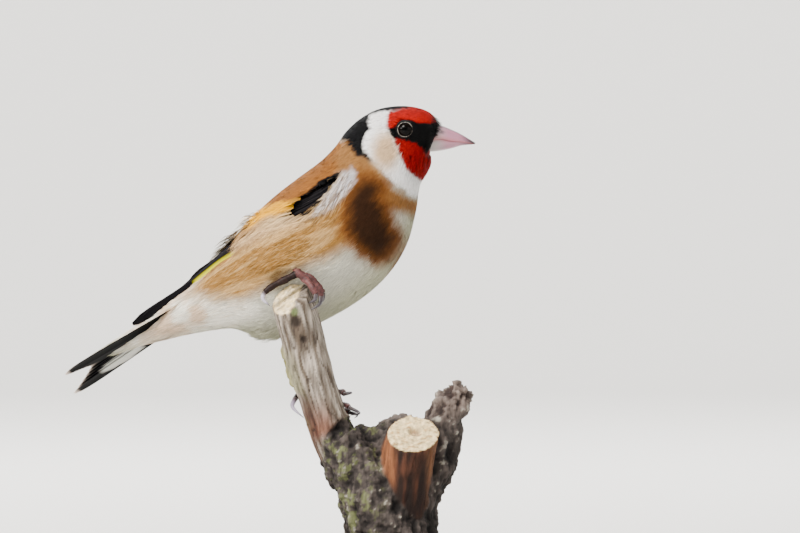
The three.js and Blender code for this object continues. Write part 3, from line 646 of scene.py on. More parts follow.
# By section: length of the tufts, depth of the skin, lift of the tips, width of a blade, tuft spacing
COAT_ROWS = np.array([
    [-1.0, 8.5, 0.9, 0.15, 0.30, 0.95],
    [0.6, 10.5, 0.9, 0.20, 0.30, 0.92],
    [2.0, 8.0, 1.0, 0.30, 0.30, 0.90],
    [5.0, 5.6, 1.1, 0.25, 0.28, 0.85],
    [8.0, 4.6, 1.1, 0.20, 0.26, 0.82],
    [10.5, 3.4, 1.0, 0.15, 0.23, 0.74],
    [12.0, 2.3, 0.8, 0.12, 0.19, 0.60],
    [13.5, 1.8, 0.6, 0.08, 0.17, 0.50],
    [15.0, 1.3, 0.45, 0.05, 0.15, 0.43],
    [16.0, 1.0, 0.35, 0.04, 0.14, 0.40],
])
COAT_START = -0.8
COAT_END = 15.75
BLADES = 13
# How far the tips of special tufts stand off, in mm
CHIN_LIFT = 1.5
FRINGE_LIFT = 2.6
FRINGE_SHARE = 0.4
RUMP_LIFT = 2.4
UNDERTAIL_LIFT = 1.2
SHIN_LIFT = 2.6
LOOSE_LIFT = 2.0
LEVELS = np.array([0.0, 0.38, 0.72, 1.0])
LEVEL_WIDTHS = np.array([0.7, 1.0, 0.62])
LEVEL_SHADES = np.array([0.55, 0.85, 1.0, 1.1])


def coat(s, column):
    """A value from the coat's table at sections s."""
    return np.interp(s, COAT_ROWS[:, 0], COAT_ROWS[:, column])


def bake_map(s, angle):
    """The body unwrapped: section along, angle round it."""
    round_it = (np.asarray(angle) + 180) % 360 / 360
    along = (np.asarray(s) + 2) / (LAST_SECTION + 3)
    return 0.02 + 0.96 * np.stack([along, round_it], -1)


def wing_height(s, angle):
    """Height of the folded wing's sheet over the body, and how far inside its edges in degrees."""
    side = side_of(angle)
    lines = WING_LINES[:, ::-1]
    upper, middle, lower = (np.interp(s, line[:, 0], line[:, 1]) for line in lines)
    over, half, under = (np.interp(s, line[:, 0], line[:, 2]) for line in lines)
    front = side < middle
    share = np.where(front, (side - upper) / np.maximum(middle - upper, 1),
                     (lower - side) / np.maximum(lower - middle, 1))
    height = mix(np.where(front, over, under), half, np.clip(share, 0, 1))
    within = np.minimum(side - upper, lower - side)
    within = np.minimum(within, (lines[0, -1, 0] - s) * 12)
    return height, within


def eye_place(hand):
    """The eye's centre and the way it faces."""
    at = on_body(EYE_SECTION, hand * EYE_ANGLE, -EYE_SINK)
    facing = unit(on_body(EYE_SECTION, hand * EYE_ANGLE) - sections(EYE_SECTION)["centre"])
    facing = unit(mix(facing, np.array([0, -hand, 0]), 0.75))
    return at, facing


def gape(s, angle):
    """Where the base of the lower bill shows, and skin and coat draw back from it."""
    x, z = side_view(s, angle)
    base = [(21.1, 123.2), (23.0, 126.6), (24.6, 128.6), (28.0, 128.6), (28.0, 122.0), (22.6, 122.2)]
    return smooth(inside(base, x, z), -0.3, 0.3)


def skin_offset(s, angle):
    """How far the skin lies from the outline of the body: under the coat, and under the wings."""
    depth = -coat(s, 2)
    height, within = wing_height(s, angle)
    under_wing = np.minimum(depth, height - 1.3)
    side = side_of(angle)
    chin = 0.45 * smooth(side, 120, 165) * smooth(s, 11.6, 13.2) * smooth(s, 15.9, 14.8)
    return mix(depth, under_wing, smooth(within, -8, 2)) + chin - 1.6 * gape(s, angle)


def make_skin():
    """The body's surface under the coat, drawn in round the eyes, the wings and the stem."""
    rows, columns = 200, 168
    s = np.linspace(COAT_START - 0.4, LAST_SECTION - 0.15, rows)[:, None]
    angle = np.linspace(-180, 180, columns, endpoint=False)[None, :]
    s, angle = np.broadcast_arrays(s, angle)
    points = on_body(s, angle, skin_offset(s, angle))
    for hand in (1, -1):
        at, facing = eye_place(hand)
        out = (points - at) @ facing
        flat = np.linalg.norm(points - at - out[..., None] * facing, axis=-1)
        behind = -np.sqrt(np.maximum((EYE_RADIUS + 0.1) ** 2 - flat**2, 0))
        held = (flat < EYE_RADIUS - 0.15) & (out > behind) & (np.abs(out) < 5)
        points = np.where(held[..., None], points + (behind - out)[..., None] * facing, points)
    points = behind_stem(points, 0.1).reshape(-1, 3)
    colours = (plumage(s, angle) * 0.8).reshape(-1, 3)
    quads = grid_faces(rows, columns, True)
    points = np.concatenate([points, [points[:columns].mean(0), points[-columns:].mean(0)]])
    colours = np.concatenate([colours, [colours[0], colours[-1]]])
    bake = bake_map(s, angle).reshape(-1, 2)
    bake = np.concatenate([bake, [bake[0], bake[-1]]])
    skin = build_mesh("skin", points, quads[:, ::-1], end_caps(rows, columns), colours, "plumage", bake)
    return place_piece(skin, "body_feather", "torso", "neck", "head")


def strand_points(place, step):
    """Seven points for each narrow blade: two at each of its first three levels, and its tip."""
    points = np.empty((*place.shape[:-2], 7, 3), np.float32)
    points[..., 0:6:2, :] = place[..., :3, :] - step
    points[..., 1:6:2, :] = place[..., :3, :] + step
    points[..., 6, :] = place[..., 3, :]
    return points


def strand_faces(count):
    """Quads and triangles of that many blades."""
    first = np.arange(count)[:, None] * 7
    return np.concatenate([first + [0, 2, 3, 1], first + [2, 4, 5, 3]]), first + [4, 6, 5]


def tuft_roots():
    """Roots of the tufts in jittered rows round the body: sections and angles."""
    rng = np.random.default_rng(11)
    ring = np.arange(-180, 180, 3.0)
    s = COAT_START
    found = []
    while s < COAT_END:
        gap = coat(s, 5)
        _, along, per_degree = body_frame(np.full(len(ring), s), ring)
        longest = along.max()
        arc = np.concatenate([[0], np.cumsum(per_degree * 3.0)])
        count = int(arc[-1] / gap)
        at = (np.arange(count) + rng.random(count)) / count * arc[-1]
        angle = np.interp(at, arc, np.append(ring, 180.0))
        row = s + (rng.random(count) - 0.5) * gap / longest
        share = np.interp(angle, np.append(ring, 180.0), np.append(along, along[0])) / longest
        kept = rng.random(count) < share
        found.append(np.stack([row, angle], -1)[kept])
        s += gap / longest
    return np.concatenate(found)


def coat_regions(s, angle):
    """The coat's pieces by name, as masks over the tufts."""
    side = np.abs(angle)
    trunk = s < 7.4
    return {
        "coat_head": s >= 13.0,
        "coat_cheeks": (s >= 11.6) & (s < 13.0),
        "coat_neck": (s >= 9.6) & (s < 11.6),
        "coat_breast": (s >= 7.4) & (s < 9.6),
        "coat_back": trunk & (side < 55),
        "coat_flank_right": trunk & (side >= 55) & (side < 125) & (angle > 0),
        "coat_flank_left": trunk & (side >= 55) & (side < 125) & (angle < 0),
        "coat_belly": trunk & (side >= 125) & (s >= 3.2),
        "coat_vent": trunk & (side >= 125) & (s < 3.2),
    }


def tufts(tuft_length):
    """Sections, angles and lengths of the tufts, with none on coverts, flight feathers, eyes or bill."""
    s0, a0 = tuft_roots().T
    _, within = wing_height(s0, a0)
    patch = inside(COVERT_PATCH, *side_view(s0, a0))
    bare = (patch > 0.2) | ((within > 2) & (s0 < 4.3)) | (gape(s0, a0) > 0.4)
    root_at = on_body(s0, a0, -coat(s0, 2))
    length = tuft_length * coat(s0, 1)
    for hand in (1, -1):
        at, facing = eye_place(hand)
        away = root_at - at
        flat = away - (away @ facing)[:, None] * facing
        reach = np.linalg.norm(flat, axis=-1)
        near = np.sign(a0) == hand
        bare |= near & (reach < EYE_RADIUS + 0.15)
        # Tufts behind the eye are short, and those ahead of it end at its edge
        rear = near & (reach < EYE_RADIUS + 1.1) & (s0 <= EYE_SECTION)
        length = np.where(rear, 0.55 * length, length)
        ahead = near & (reach < 6) & (s0 > EYE_SECTION)
        length = np.where(ahead, np.minimum(length, np.maximum(reach - EYE_RADIUS + 0.2, 0.5)), length)
    return s0[~bare], a0[~bare], length[~bare]


def strand_colours(rng, s, angle, spots, fluff, streak, edge, lock):
    """A colour for each blade: the plumage there, uneven from tuft to tuft, with a few that stand out."""
    count, blades = s.shape
    colour = plumage(s, angle)
    red, breast, yellow = (inside(OUTLINES[name], *spots) for name in ("upper_red", "breast", "yellow"))
    red = np.maximum(red, inside(OUTLINES["lower_red"], *spots))
    plain = np.maximum(smooth(breast, -2.0, 1.0), smooth(yellow, -1.0, 1.0))
    uneven = (0.11 + 0.07 * fluff * (1 - plain) + 0.22 * smooth(red, -0.3, 0.3) + 0.2 * streak)[:, None]
    tone = (1 + 0.035 * rng.normal(size=(count, 1))) * (1 + uneven * rng.normal(size=(count, blades)))
    colour = colour * np.clip(tone, 0.5, 1.5)[..., None]

    def some(chosen, shade, strength):
        return np.where(chosen[..., None], mix(colour, shade, strength), colour)

    # In the streak, many blades are the nape's brown darkened to near black: partly the brown of the hairs,
    # partly painted shade for the dark gaps between the locks
    colour = some(rng.random((count, blades)) < ((0.45 + 0.5 * lock) * streak)[:, None],
                  PLUMAGE["nape"] * 0.4, 0.8)
    colour = some(rng.random((count, blades)) < 0.25 * (fluff * (1 - plain))[:, None],
                  PLUMAGE["flank_pale"], 0.25)
    frosted = rng.random((count, blades))
    colour = some(frosted < 0.6 * edge[:, None], PLUMAGE["vent"], 0.8)
    return some(1 - frosted < 0.3 * edge[:, None], PLUMAGE["black"], 0.85)


def make_coat(blades, tuft_length):
    """The body's small feathers, as tufts of narrow blades that lie back over one another."""
    rng = np.random.default_rng(23)
    s0, a0, length = tufts(tuft_length)
    x, z = side_view(s0, a0)
    sheet, within = wing_height(s0, a0)
    n = len(s0)
    normal, along, per_degree = body_frame(s0, a0)

    flank = smooth(inside(OUTLINES["flank"], x, z), -3, 2)
    streak = smooth(inside(OUTLINES["streak"], x, z), -1.0, 1.0)
    vent = smooth(inside(OUTLINES["vent"], x, z), -3, 2)
    back = smooth(inside(OUTLINES["back"], x, z), -2, 2)
    fluff = np.clip(flank + streak + 0.8 * vent, 0, 1)
    length = length * (1 + 0.45 * fluff - 0.15 * back) * (0.85 + 0.3 * rng.random(n))
    # How far each tuft turns from the lie of the coat, and how closely its blades draw together
    swirl = 9 * fuzz(x, z, 9.0, 31) + 5 * fuzz(x, z, 3.0, 32) + rng.normal(0, 3, n)
    turn = np.radians(swirl + 24 * streak + 6 * flank)
    side_sign = np.where(a0 >= 0, 1, -1)
    clump = np.clip(-0.25 + 1.0 * fluff + 0.1 * rng.normal(size=n), -0.4, 0.9)
    # Heights of the tufts' roots and tips over the outline of the body, and over the wing where it lies
    lift = coat(s0, 3) + 0.35 * fluff * rng.random(n)
    over_wing = smooth(within, -2, 3)
    base = np.maximum(-0.85 * coat(s0, 2), over_wing * (sheet + 0.5) + (1 - over_wing) * -9)
    lift = np.maximum(lift, over_wing * (sheet + 1.1) + (1 - over_wing) * -9)
    side0 = np.abs(a0)
    chin = CHIN_LIFT * smooth(side0, 115, 160) * smooth(s0, 11.4, 13.0) * smooth(s0, 16.0, 15.2)
    edge = smooth(s0, 3.0, 3.5) * smooth(s0, 5.0, 4.2) * smooth(side0, 56, 30)
    fringe = FRINGE_LIFT * edge * (rng.random(n) < FRINGE_SHARE)
    rump = smooth(s0, 2.8, 1.0) * smooth(side0, 88, 80) * smooth(within, 4, -4)
    shin = SHIN_LIFT * np.exp(-(((x + 13.5) / 6.0) ** 2) - ((z - 96.8) / 3.4) ** 2)
    loose = LOOSE_LIFT * np.exp(-(((x + 19.5) / 4.0) ** 2) - ((z - 74.3) / 2.5) ** 2)
    under = smooth(s0, 2.0, 0.6) * smooth(side0, 86, 94)
    lift = lift + 0.15 + chin + (fringe + loose) * rng.random(n) ** 1.5 + shin
    lift = lift + RUMP_LIFT * rump + UNDERTAIL_LIFT * under
    base = base + 0.8 * chin
    parted = (s0 < 1.5) & (side0 > 84) & (side0 < 89)
    length = np.where(parted, 0.35 * length, length * (1 + 0.4 * rump - 0.36 * under))
    # Feathers that run over the bare black coverts stop raggedly just past the edge
    stray = rng.exponential(0.7 + 1.3 * streak, n)
    for share in (0.9, 0.75, 0.6, 0.45, 0.3, 0.15):
        run = share * length
        over = inside(COVERT_PATCH, *side_view(s0 - run / along, a0)) > 0.1
        length = np.where(over & (run + stray < length), run + stray, length)
    spread = coat(s0, 5) * 1.15

    # The blades of every tuft, each as four places from its root to its tip
    u = (np.arange(blades) + 0.5) / blades * 2 - 1
    u = u[None, :] + rng.uniform(-0.5, 0.5, (n, blades)) / blades * 2
    reach = length[:, None] * (1 - 0.28 * u**2 - 0.25 * rng.random((n, blades)))
    heading = turn[:, None] + rng.normal(0, 0.05, (n, blades))
    start = rng.uniform(0, 0.5, (n, blades)) * coat(s0, 5)[:, None]
    t = LEVELS[None, None, :]
    down = start[..., None] + reach[..., None] * t * np.cos(heading)[..., None]
    wide = spread[:, None, None] * u[..., None] * (1 - clump[:, None, None] * t)
    wide = wide + reach[..., None] * t * np.sin(heading)[..., None] * side_sign[:, None, None]
    s = s0[:, None, None] - down / along[:, None, None]
    angle = a0[:, None, None] + wide / per_degree[:, None, None]
    rise = 1 - (1 - t) ** 1.7
    strand_lift = lift[:, None] + 0.12 * rng.random((n, blades)) * coat(s0, 2)[:, None]
    height = mix(base[:, None, None], strand_lift[..., None], rise) - 1.1 * np.maximum(0, -s)
    place = behind_stem(on_body(s, angle, height), 0.15)

    # Widths across the blades, tilted a little, and shading normals that follow the body
    tangent = np.empty_like(place)
    tangent[:, :, 1:-1] = place[:, :, 2:] - place[:, :, :-2]
    tangent[:, :, 0] = place[:, :, 1] - place[:, :, 0]
    tangent[:, :, -1] = place[:, :, -1] - place[:, :, -2]
    tangent = unit(tangent)
    out = np.broadcast_to(normal[:, None, None, :], place.shape)
    across = unit(np.cross(out, tangent))
    tilt = rng.normal(0, 0.3, (n, blades))[..., None, None]
    across = across * np.cos(tilt) + np.cross(tangent, across) * np.sin(tilt)
    lie = unit(0.6 * out + 0.4 * np.cross(tangent, across))
    lie = lie[:, :, [0, 0, 1, 1, 2, 2, 3]]
    half = 0.5 * coat(s0, 4)[:, None, None] * LEVEL_WIDTHS
    step = across[:, :, :3] * half[..., None]
    strands = strand_points(place, step)

    lock = fuzz(a0 * per_degree, s0 * 1.6, 0.7, 77)
    colour = strand_colours(rng, s[:, :, 2], angle[:, :, 2], (x, z), fluff, streak, edge, lock)
    shades = np.repeat(LEVEL_SHADES, [2, 2, 2, 1])
    paint = np.clip(colour[:, :, None, :] * shades[None, None, :, None], 0, 0.93)
    bake = bake_map(s0, a0)[:, None, None, :] + np.zeros((n, blades, 7, 2))
    bake[..., 0] += 0.0012 * np.clip(u, -1, 1)[..., None]
    bake[..., 1] += 0.0012 * (np.repeat(LEVELS, [2, 2, 2, 1]) * 2 - 1)

    made = []
    for name, mask in coat_regions(s0, a0).items():
        points = strands[mask].reshape(-1, 3)
        piece = build_mesh(name, points, *strand_faces(len(points) // 7), paint[mask].reshape(-1, 3),
                           "plumage", bake[mask].reshape(-1, 2), None, lie[mask])
        node = {"coat_head": "head", "coat_cheeks": "head", "coat_neck": "neck"}.get(name, "torso")
        made.append(place_piece(piece, "body_feather", node))
    return made


# Wings and tail

VANE_COLUMNS = np.linspace(-1, 1, 41)
VANE_RINGS = 26
VANE_THICKNESS = 0.14
VANE_WIDTHS = np.array([
    [0, 0.45], [0.15, 0.75], [0.35, 0.95], [0.6, 1], [0.8, 1.0], [0.9, 0.92], [0.96, 0.68], [1, 0.2],
])
# Yellow of the flight feathers' bases, on the side of the bird
YELLOW_BAR = [(-29.0, 99.0), (-31.6, 97.6), (-36.5, 93.4), (-42.3, 88.4), (-41.4, 87.4), (-36.0, 90.2),
              (-30.0, 93.0)]


def vane(at, across, out, half, camber, colour):
    """One feather: a thin closed blade along places, with its shaft as a ridge. Returns a merged() set."""
    t = np.linspace(0, 1, len(at))
    width = half * np.interp(t, VANE_WIDTHS[:, 0], VANE_WIDTHS[:, 1])
    u = VANE_COLUMNS
    arch = camber * (1 - u**2) + np.where(np.abs(u) < 0.04, 0.09, 0)
    top = at[:, None] + across[:, None] * (width[:, None] * u)[..., None]
    top = top + out[:, None] * (arch[None, :] * (width / half)[:, None])[..., None]
    under_u = np.array([1.0, 0.75, 0.4, 0.0, -0.4, -0.75, -1.0])
    low = at[:, None] + across[:, None] * (width[:, None] * under_u)[..., None]
    low = low + out[:, None] * ((camber * (1 - under_u**2))[None, :] * (width / half)[:, None]
                                - VANE_THICKNESS)[..., None]
    rings = np.concatenate([top, low], 1)
    columns = rings.shape[1]
    points = rings.reshape(-1, 3)
    points = np.concatenate([points, [rings[0].mean(0), rings[-1].mean(0)]])
    every_u = np.concatenate([u, under_u])
    paint = colour(rings, t[:, None] + 0 * every_u, every_u + 0 * t[:, None])
    paint = np.concatenate([paint.reshape(-1, 3), paint[0, :1], paint[-1, :1]])
    run = np.broadcast_to((t * np.linalg.norm(at[-1] - at[0]))[:, None], (len(t), columns))
    place = VANE_MAP * np.stack([width[:, None] * every_u, run], -1)
    place = np.concatenate([place.reshape(-1, 2), place[0, :1], place[-1, :1]])
    return points, grid_faces(len(at), columns, True), end_caps(len(at), columns), paint, None, place


def flight_colour(kind, rank, count):
    """Colours of a wing feather, by kind and place in its row: black, with yellow bases and pale tips."""

    def colour(rings, t, u):
        x, z = rings[..., 0], rings[..., 2]
        shade = tint(srgb("09080a"), "1b191b", smooth(np.abs(u), 0.8, 1.0))
        if kind in ("primary", "secondary"):
            bar = smooth(inside(YELLOW_BAR, x, z), -0.25, 0.25) * smooth(np.abs(u), 0.92, 0.86)
            line = np.abs(np.modf(u * 2.3 + 5.2)[0] - 0.5)
            bar = bar * smooth(line, 0.16, 0.27)
            shade = tint(shade, "aaa400", bar)
            edge = smooth(u, 0.88, 0.98) * smooth(t, 0.55, 0.75) * smooth(t, 0.97, 0.9)
            shade = tint(shade, "5d564e", 0.6 * edge)
            if rank in (2, 3):
                shade = tint(shade, "e0d2c8", 0.8 * smooth(t, 0.985, 0.995))
        elif kind == "tertial":
            shade = tint(shade, "ece4d8", 0.4 * smooth(t, 0.965, 0.98))
        elif kind == "greater":
            shade = mix(shade, PLUMAGE["yellow"], smooth(t, 0.62, 0.78)[..., None])
        tone = 1 + 0.08 * (hash01(np.full_like(t, rank + 20 * count), np.floor(t * 9)) - 0.5)
        return shade * tone[..., None]

    return colour


# Rows of a wing, from the longest feathers up: kind, how many, first and last root, first and last tip,
# first and last lift, half width, and how far the middle tips reach past their line
WING_ROWS = [
    ("primary", 6, [[3.3, 0.93], [3.1, 0.62]], [[7.75, 0.84], [6.8, 0.36]], [0, 1.15], 1.9, 0.7),
    ("secondary", 5, [[3.0, 0.66], [2.8, 0.34]], [[6.35, 0.5], [5.75, 0.26]], [1.35, 1.95], 2.0, 0),
    ("tertial", 3, [[3.2, 0.34], [2.9, 0.1]], [[6.5, 0.24], [5.4, 0.04]], [2.1, 2.4], 2.4, 0.1),
    ("greater", 9, [[1.3, 0.88], [1.4, 0.16]], [[3.5, 0.86], [3.7, 0.14]], [0.9, 1.2], 1.6, 0.2),
    ("median", 8, [[0.4, 0.84], [0.5, 0.2]], [[2.0, 0.82], [2.1, 0.18]], [1.2, 1.4], 1.4, 0.15),
    ("lesser", 8, [[-0.2, 0.84], [0.0, 0.2]], [[1.2, 0.82], [1.2, 0.18]], [1.4, 1.5], 1.2, 0.1),
]


def make_wing(hand):
    """One folded wing: rows of closed feathers laid one over the next."""
    feathers = []
    t = np.linspace(0, 1, VANE_RINGS)
    for kind, count, roots, tips, lifts, half, bulge in WING_ROWS:
        for i in range(count):
            share = i / (count - 1)
            (k0, v0), (k1, v1) = (mix(np.array(a), np.array(b), share) for a, b in (roots, tips))
            k1 = min(k1 + bulge * math.sin(math.pi * share), WING_END - 0.02)
            k, v = mix(k0, k1, t), mix(v0, v1, t)
            out = wing_out(hand, k, v)
            raised = mix(*lifts, share)
            if k0 > 2.5:
                raised = raised * smooth(t, -0.3, 0.5)[:, None]
            at = wing_sheet(hand, k, v) + out * raised
            length = unit(np.gradient(at, axis=0))
            across = unit(np.cross(length, out)) * hand
            if kind == "primary":
                # The tips of the folded primaries stand on edge over the rump
                edgewise = np.cross(length, [0, -1.0, 0])
                edgewise *= np.sign((edgewise * across).sum(-1, keepdims=True))
                across = unit(mix(across, edgewise, 0.85 * smooth(t, 0.6, 0.95)[:, None]))
                out = unit(np.cross(across, length)) * hand
            feathers.append(vane(at, across, out, half, 0.2, flight_colour(kind, i, count)))
    name = "right" if hand > 0 else "left"
    points, quads, tris, paint, _, place = merged(feathers)
    wing = build_mesh(f"wing_{name}_feathers", points, quads, tris, paint, "vane", None, place)
    return place_piece(wing, "flight_feather", f"wing_{name}")


def on_tail(out, across, height):
    """Places on the tail: out along it, across it and over it."""
    reach = np.stack(np.broadcast_arrays(out, across, height), -1)
    return TAIL_ROOT + reach @ np.stack(tail_frame())


# The pale oval under the far side of the tail, in the tail's own lengths: centre and half sizes
OVAL_CENTRE = (22.6, -5.2)
OVAL_SIZE = (6.8, 2.8)


def tail_colour(hand):
    """Black, with pale ends, and with the oval on the undersides of the far feathers."""

    def colour(rings, t, u):
        shade = tint(srgb("050506"), "121113", smooth(np.abs(u), 0.8, 1.0))
        if hand < 0:
            length, side, _ = tail_frame()
            below = np.zeros(u.shape[1])
            below[len(VANE_COLUMNS):] = 1
            below[[0, len(VANE_COLUMNS) - 1]] = 1
            out, across = (rings - TAIL_ROOT) @ length, (rings - TAIL_ROOT) @ side
            oval = (((np.stack([out, across], -1) - OVAL_CENTRE) / OVAL_SIZE) ** 2).sum(-1)
            # The oval is the feathers' own white spot, painted grey as painted shade, for the shade under
            # the tail
            shade = tint(shade, "b4b3ac", smooth(oval, 1.12, 0.88) * below)
        rim = 0.4 * smooth(np.abs(u), 0.92, 1.0) * smooth(t, 0.9, 0.97)
        pale = np.maximum(smooth(t, 0.984, 0.995), rim)
        return tint(shade, "dccdc2", pale)

    return colour


def make_tail():
    """Twelve feathers in a closed fan, the outermost lowest."""
    feathers = []
    t = np.linspace(0, 1, VANE_RINGS)
    _, _, up = tail_frame()
    for rank in range(6, 0, -1):
        for hand in (1, -1):
            share = (rank - 0.5) / 5.5
            end = mix(30, 35, share**1.5) + (4.2 * share if hand < 0 else 1.4 * share)
            across = mix(hand * 3.8 * share, hand * 7.6 * share, t)
            height = mix(1.35, 0.05, share) + (0.08 if hand < 0 else 0)
            at = on_tail(mix(-6.5, end, t), across, height + 0 * t)
            length = unit(np.gradient(at, axis=0))
            out = np.broadcast_to(up, at.shape)
            feathers.append(vane(at, unit(np.cross(length, out)), out, 2.3, 0.2, tail_colour(hand)))
    points, quads, tris, paint, _, place = merged(feathers)
    tail = build_mesh("tail_feathers", points, quads, tris, paint, "vane", None, place)
    return place_piece(tail, "flight_feather", "tail")


# Eyes, bill, legs and claws

RIDGE = [(22.0, 131.2), (24.3, 130.3), (27.0, 129.2), (29.8, 127.9), (32.3, 126.4), (33.9, 125.4)]
MOUTH = [(19.5, 125.6), (23.8, 126.5), (27.0, 125.9), (29.8, 125.6), (32.3, 125.3), (33.7, 125.1)]
GONYS = [(18.5, 123.0), (23.0, 123.1), (27.0, 123.8), (29.8, 124.6), (32.0, 124.9), (33.0, 124.95)]
BILL_HALF_WIDTH = 3.7


EYELID_RADIUS = 2.2
EYELID_HALF_WIDTH = 0.4
EYELID_HALF_HEIGHT = 0.26
LID_SCALES = 30


def make_eye(hand):
    """A wet dark ball with a ring of small pale scales on the lids."""
    name = "right" if hand > 0 else "left"
    at, facing = eye_place(hand)
    sideways = unit(np.cross([0, 0, 1.0], facing))
    upward = np.cross(facing, sideways)
    rows, columns = 24, 40
    down = np.linspace(0.02, math.pi, rows)[:, None]
    turn = np.linspace(0, 2 * math.pi, columns, endpoint=False)[None, :]
    level = sideways * np.cos(turn)[..., None] + upward * np.sin(turn)[..., None]
    ball = facing * np.cos(down)[..., None] + level * np.sin(down)[..., None]
    iris = smooth(np.abs(down - 0.62 + 0 * turn), 0.3, 0.2)[..., None]
    colours = mix(srgb("020202"), srgb("080504"), iris).reshape(-1, 3)
    eye = build_mesh(f"eye_{name}_ball", at + ball * EYE_RADIUS, grid_faces(rows, columns, True), [],
                     colours, "eye")
    place_piece(eye, "eye", f"eye_{name}")
    seat = at + facing * (math.sqrt(EYE_RADIUS**2 - EYELID_RADIUS**2) + 0.1)
    turn = np.linspace(0, 2 * math.pi, 48, endpoint=False)[:, None]
    pinch = np.linspace(0, 2 * math.pi, 12, endpoint=False)[None, :]
    out = EYELID_RADIUS + EYELID_HALF_WIDTH * np.cos(pinch) + 0 * turn
    lift = EYELID_HALF_HEIGHT * np.sin(pinch) + 0 * turn
    way = sideways * np.cos(turn)[..., None] + upward * np.sin(turn)[..., None]
    rim = seat + way * out[..., None] + facing * lift[..., None]
    rim_quads = grid_faces(48, 12, True)
    first = np.arange(12)
    after = (first + 1) % 12
    close = np.stack([47 * 12 + first, 47 * 12 + after, after, first], -1)
    lids = [(rim.reshape(-1, 3), np.concatenate([rim_quads, close]), [], srgb("0b0a0b"), None, None)]
    a = 0.0
    for j in range(LID_SCALES):
        a += 2 * math.pi / LID_SCALES * (0.7 + 0.6 * hash01(j, 3.0))
        size = 0.09 + 0.05 * hash01(j, 5.0)
        bead = []
        for step in (-1, 0, 1):
            b = a + step * (0.04 + 0.06 * hash01(j, 7.0))
            far = 1.94 + 0.07 * hash01(j, 2.0)
            way = sideways * math.cos(b) + upward * math.sin(b)
            bead.append(at + way * far + facing * (math.sqrt(EYE_RADIUS**2 - far**2) + 0.03))
        points, quads, tris = tube(np.array(bead), [size * 0.4, size, size * 0.4], 7, 5)
        lids.append((points, quads, tris, mix(srgb("aaa298"), srgb("37332f"), hash01(j, 9.0)), None, None))
    points, quads, tris, paint, _, _ = merged(lids)
    lid = build_mesh(f"eyelid_{name}", points, quads, tris, paint, "lid")
    return eye, place_piece(lid, "leg_skin")


def make_bill():
    """The bill's two halves, which meet along the mouth."""
    bill_y = float(sections(LAST_SECTION)["centre"][1])
    halves = {"upper": (RIDGE, 1, 1.0), "lower": (GONYS, -1, 0.92)}
    made = []
    for name, (crest_line, sign, narrow) in halves.items():
        rows, columns = 34, 22
        t = np.linspace(0, 1, rows)
        mouth, crest = spline(MOUTH, t), spline(crest_line, t)
        half = np.maximum(BILL_HALF_WIDTH * (1 - t**1.25), 0.12) * narrow
        a = np.linspace(0, math.pi, columns)[None, :]
        rise = np.sin(a) ** 0.9
        x = mix(mouth[:, :1], crest[:, :1], rise)
        z = mix(mouth[:, 1:] - sign * 0.12, crest[:, 1:], rise)
        y = bill_y - half[:, None] * np.cos(a) * (1 + 0.04 * np.sin(2 * a) ** 2)
        top = np.stack([x, y, z], -1)
        along = np.broadcast_to(t[:, None], (rows, columns))
        colour = tint(srgb("978f8d"), "98687a", smooth(x, 22.5, 27.0))
        colour = tint(colour, "33282b", smooth(x, 29.0, 33.6))
        if sign > 0:
            colour = tint(colour, "6a5a60", smooth(rise, 0.8, 1.0) * 0.55 + 0 * along)
        colour = tint(colour, "9c4a4c", smooth(rise, 0.35, 0.0) * 0.6 + 0 * along)
        if sign > 0:
            colour = tint(colour, "2a2224", smooth(x, 25.0, 22.3) * smooth(rise, 0.1, 0.6) * 0.75)
            nostril = np.hypot((x - 24.9) / 0.75, (z - 128.3) / 0.42)
            colour = tint(colour, "4a3436", 0.7 * smooth(nostril, 1.2, 0.7))
            top[..., 1] = y + np.where(y < bill_y, 1, -1) * 0.35 * smooth(nostril, 1.2, 0.4)
        quads = grid_faces(rows, columns, True)
        caps = end_caps(rows, columns)
        points = np.concatenate([top.reshape(-1, 3), [top[0].mean(0), top[-1].mean(0)]])
        colours = np.concatenate([colour.reshape(-1, 3), [colour[0, 0], colour[-1, 0]]])
        flip = slice(None, None, -1) if sign > 0 else slice(None)
        piece = build_mesh(f"bill_{name}_horn", points, quads[:, flip], caps[:, flip], colours, "bill")
        made.append(place_piece(piece, "horn", f"bill_{name}"))
    return made


def make_bristles():
    """Short black bristles that lie forward over the base of the bill."""
    rng = np.random.default_rng(5)
    n = 700
    angle = rng.uniform(-100, 100, n)
    s = rng.uniform(14.9, 15.8, n)
    start = on_body(s, angle, -0.25)
    tip = np.array([35.0, float(sections(LAST_SECTION)["centre"][1]), 125.3])
    forward = unit(tip - start + rng.normal(0, 1.2, (n, 3)))
    out, _, _ = body_frame(s, angle)
    reach = rng.uniform(0.5, 1.9, n) * (1 - 0.6 * smooth(np.abs(angle), 45, 95))
    t = LEVELS[None, :]
    rise = 0.32 * np.sin(np.minimum(t * 1.25, 1) * math.pi * 0.5)
    place = start[:, None] + forward[:, None] * (reach[:, None] * t)[..., None]
    place = place + out[:, None] * rise[..., None]
    across = unit(np.cross(np.broadcast_to(out[:, None], place.shape), forward[:, None]))
    strands = strand_points(place, across[:, :3] * (0.05 * LEVEL_WIDTHS)[None, :, None])
    bake = np.repeat(bake_map(s, angle)[:, None], 7, 1).reshape(-1, 2)
    bristles = build_mesh("coat_bristles", strands, *strand_faces(n), PLUMAGE["black"], "plumage", bake)
    return place_piece(bristles, "body_feather", "head")


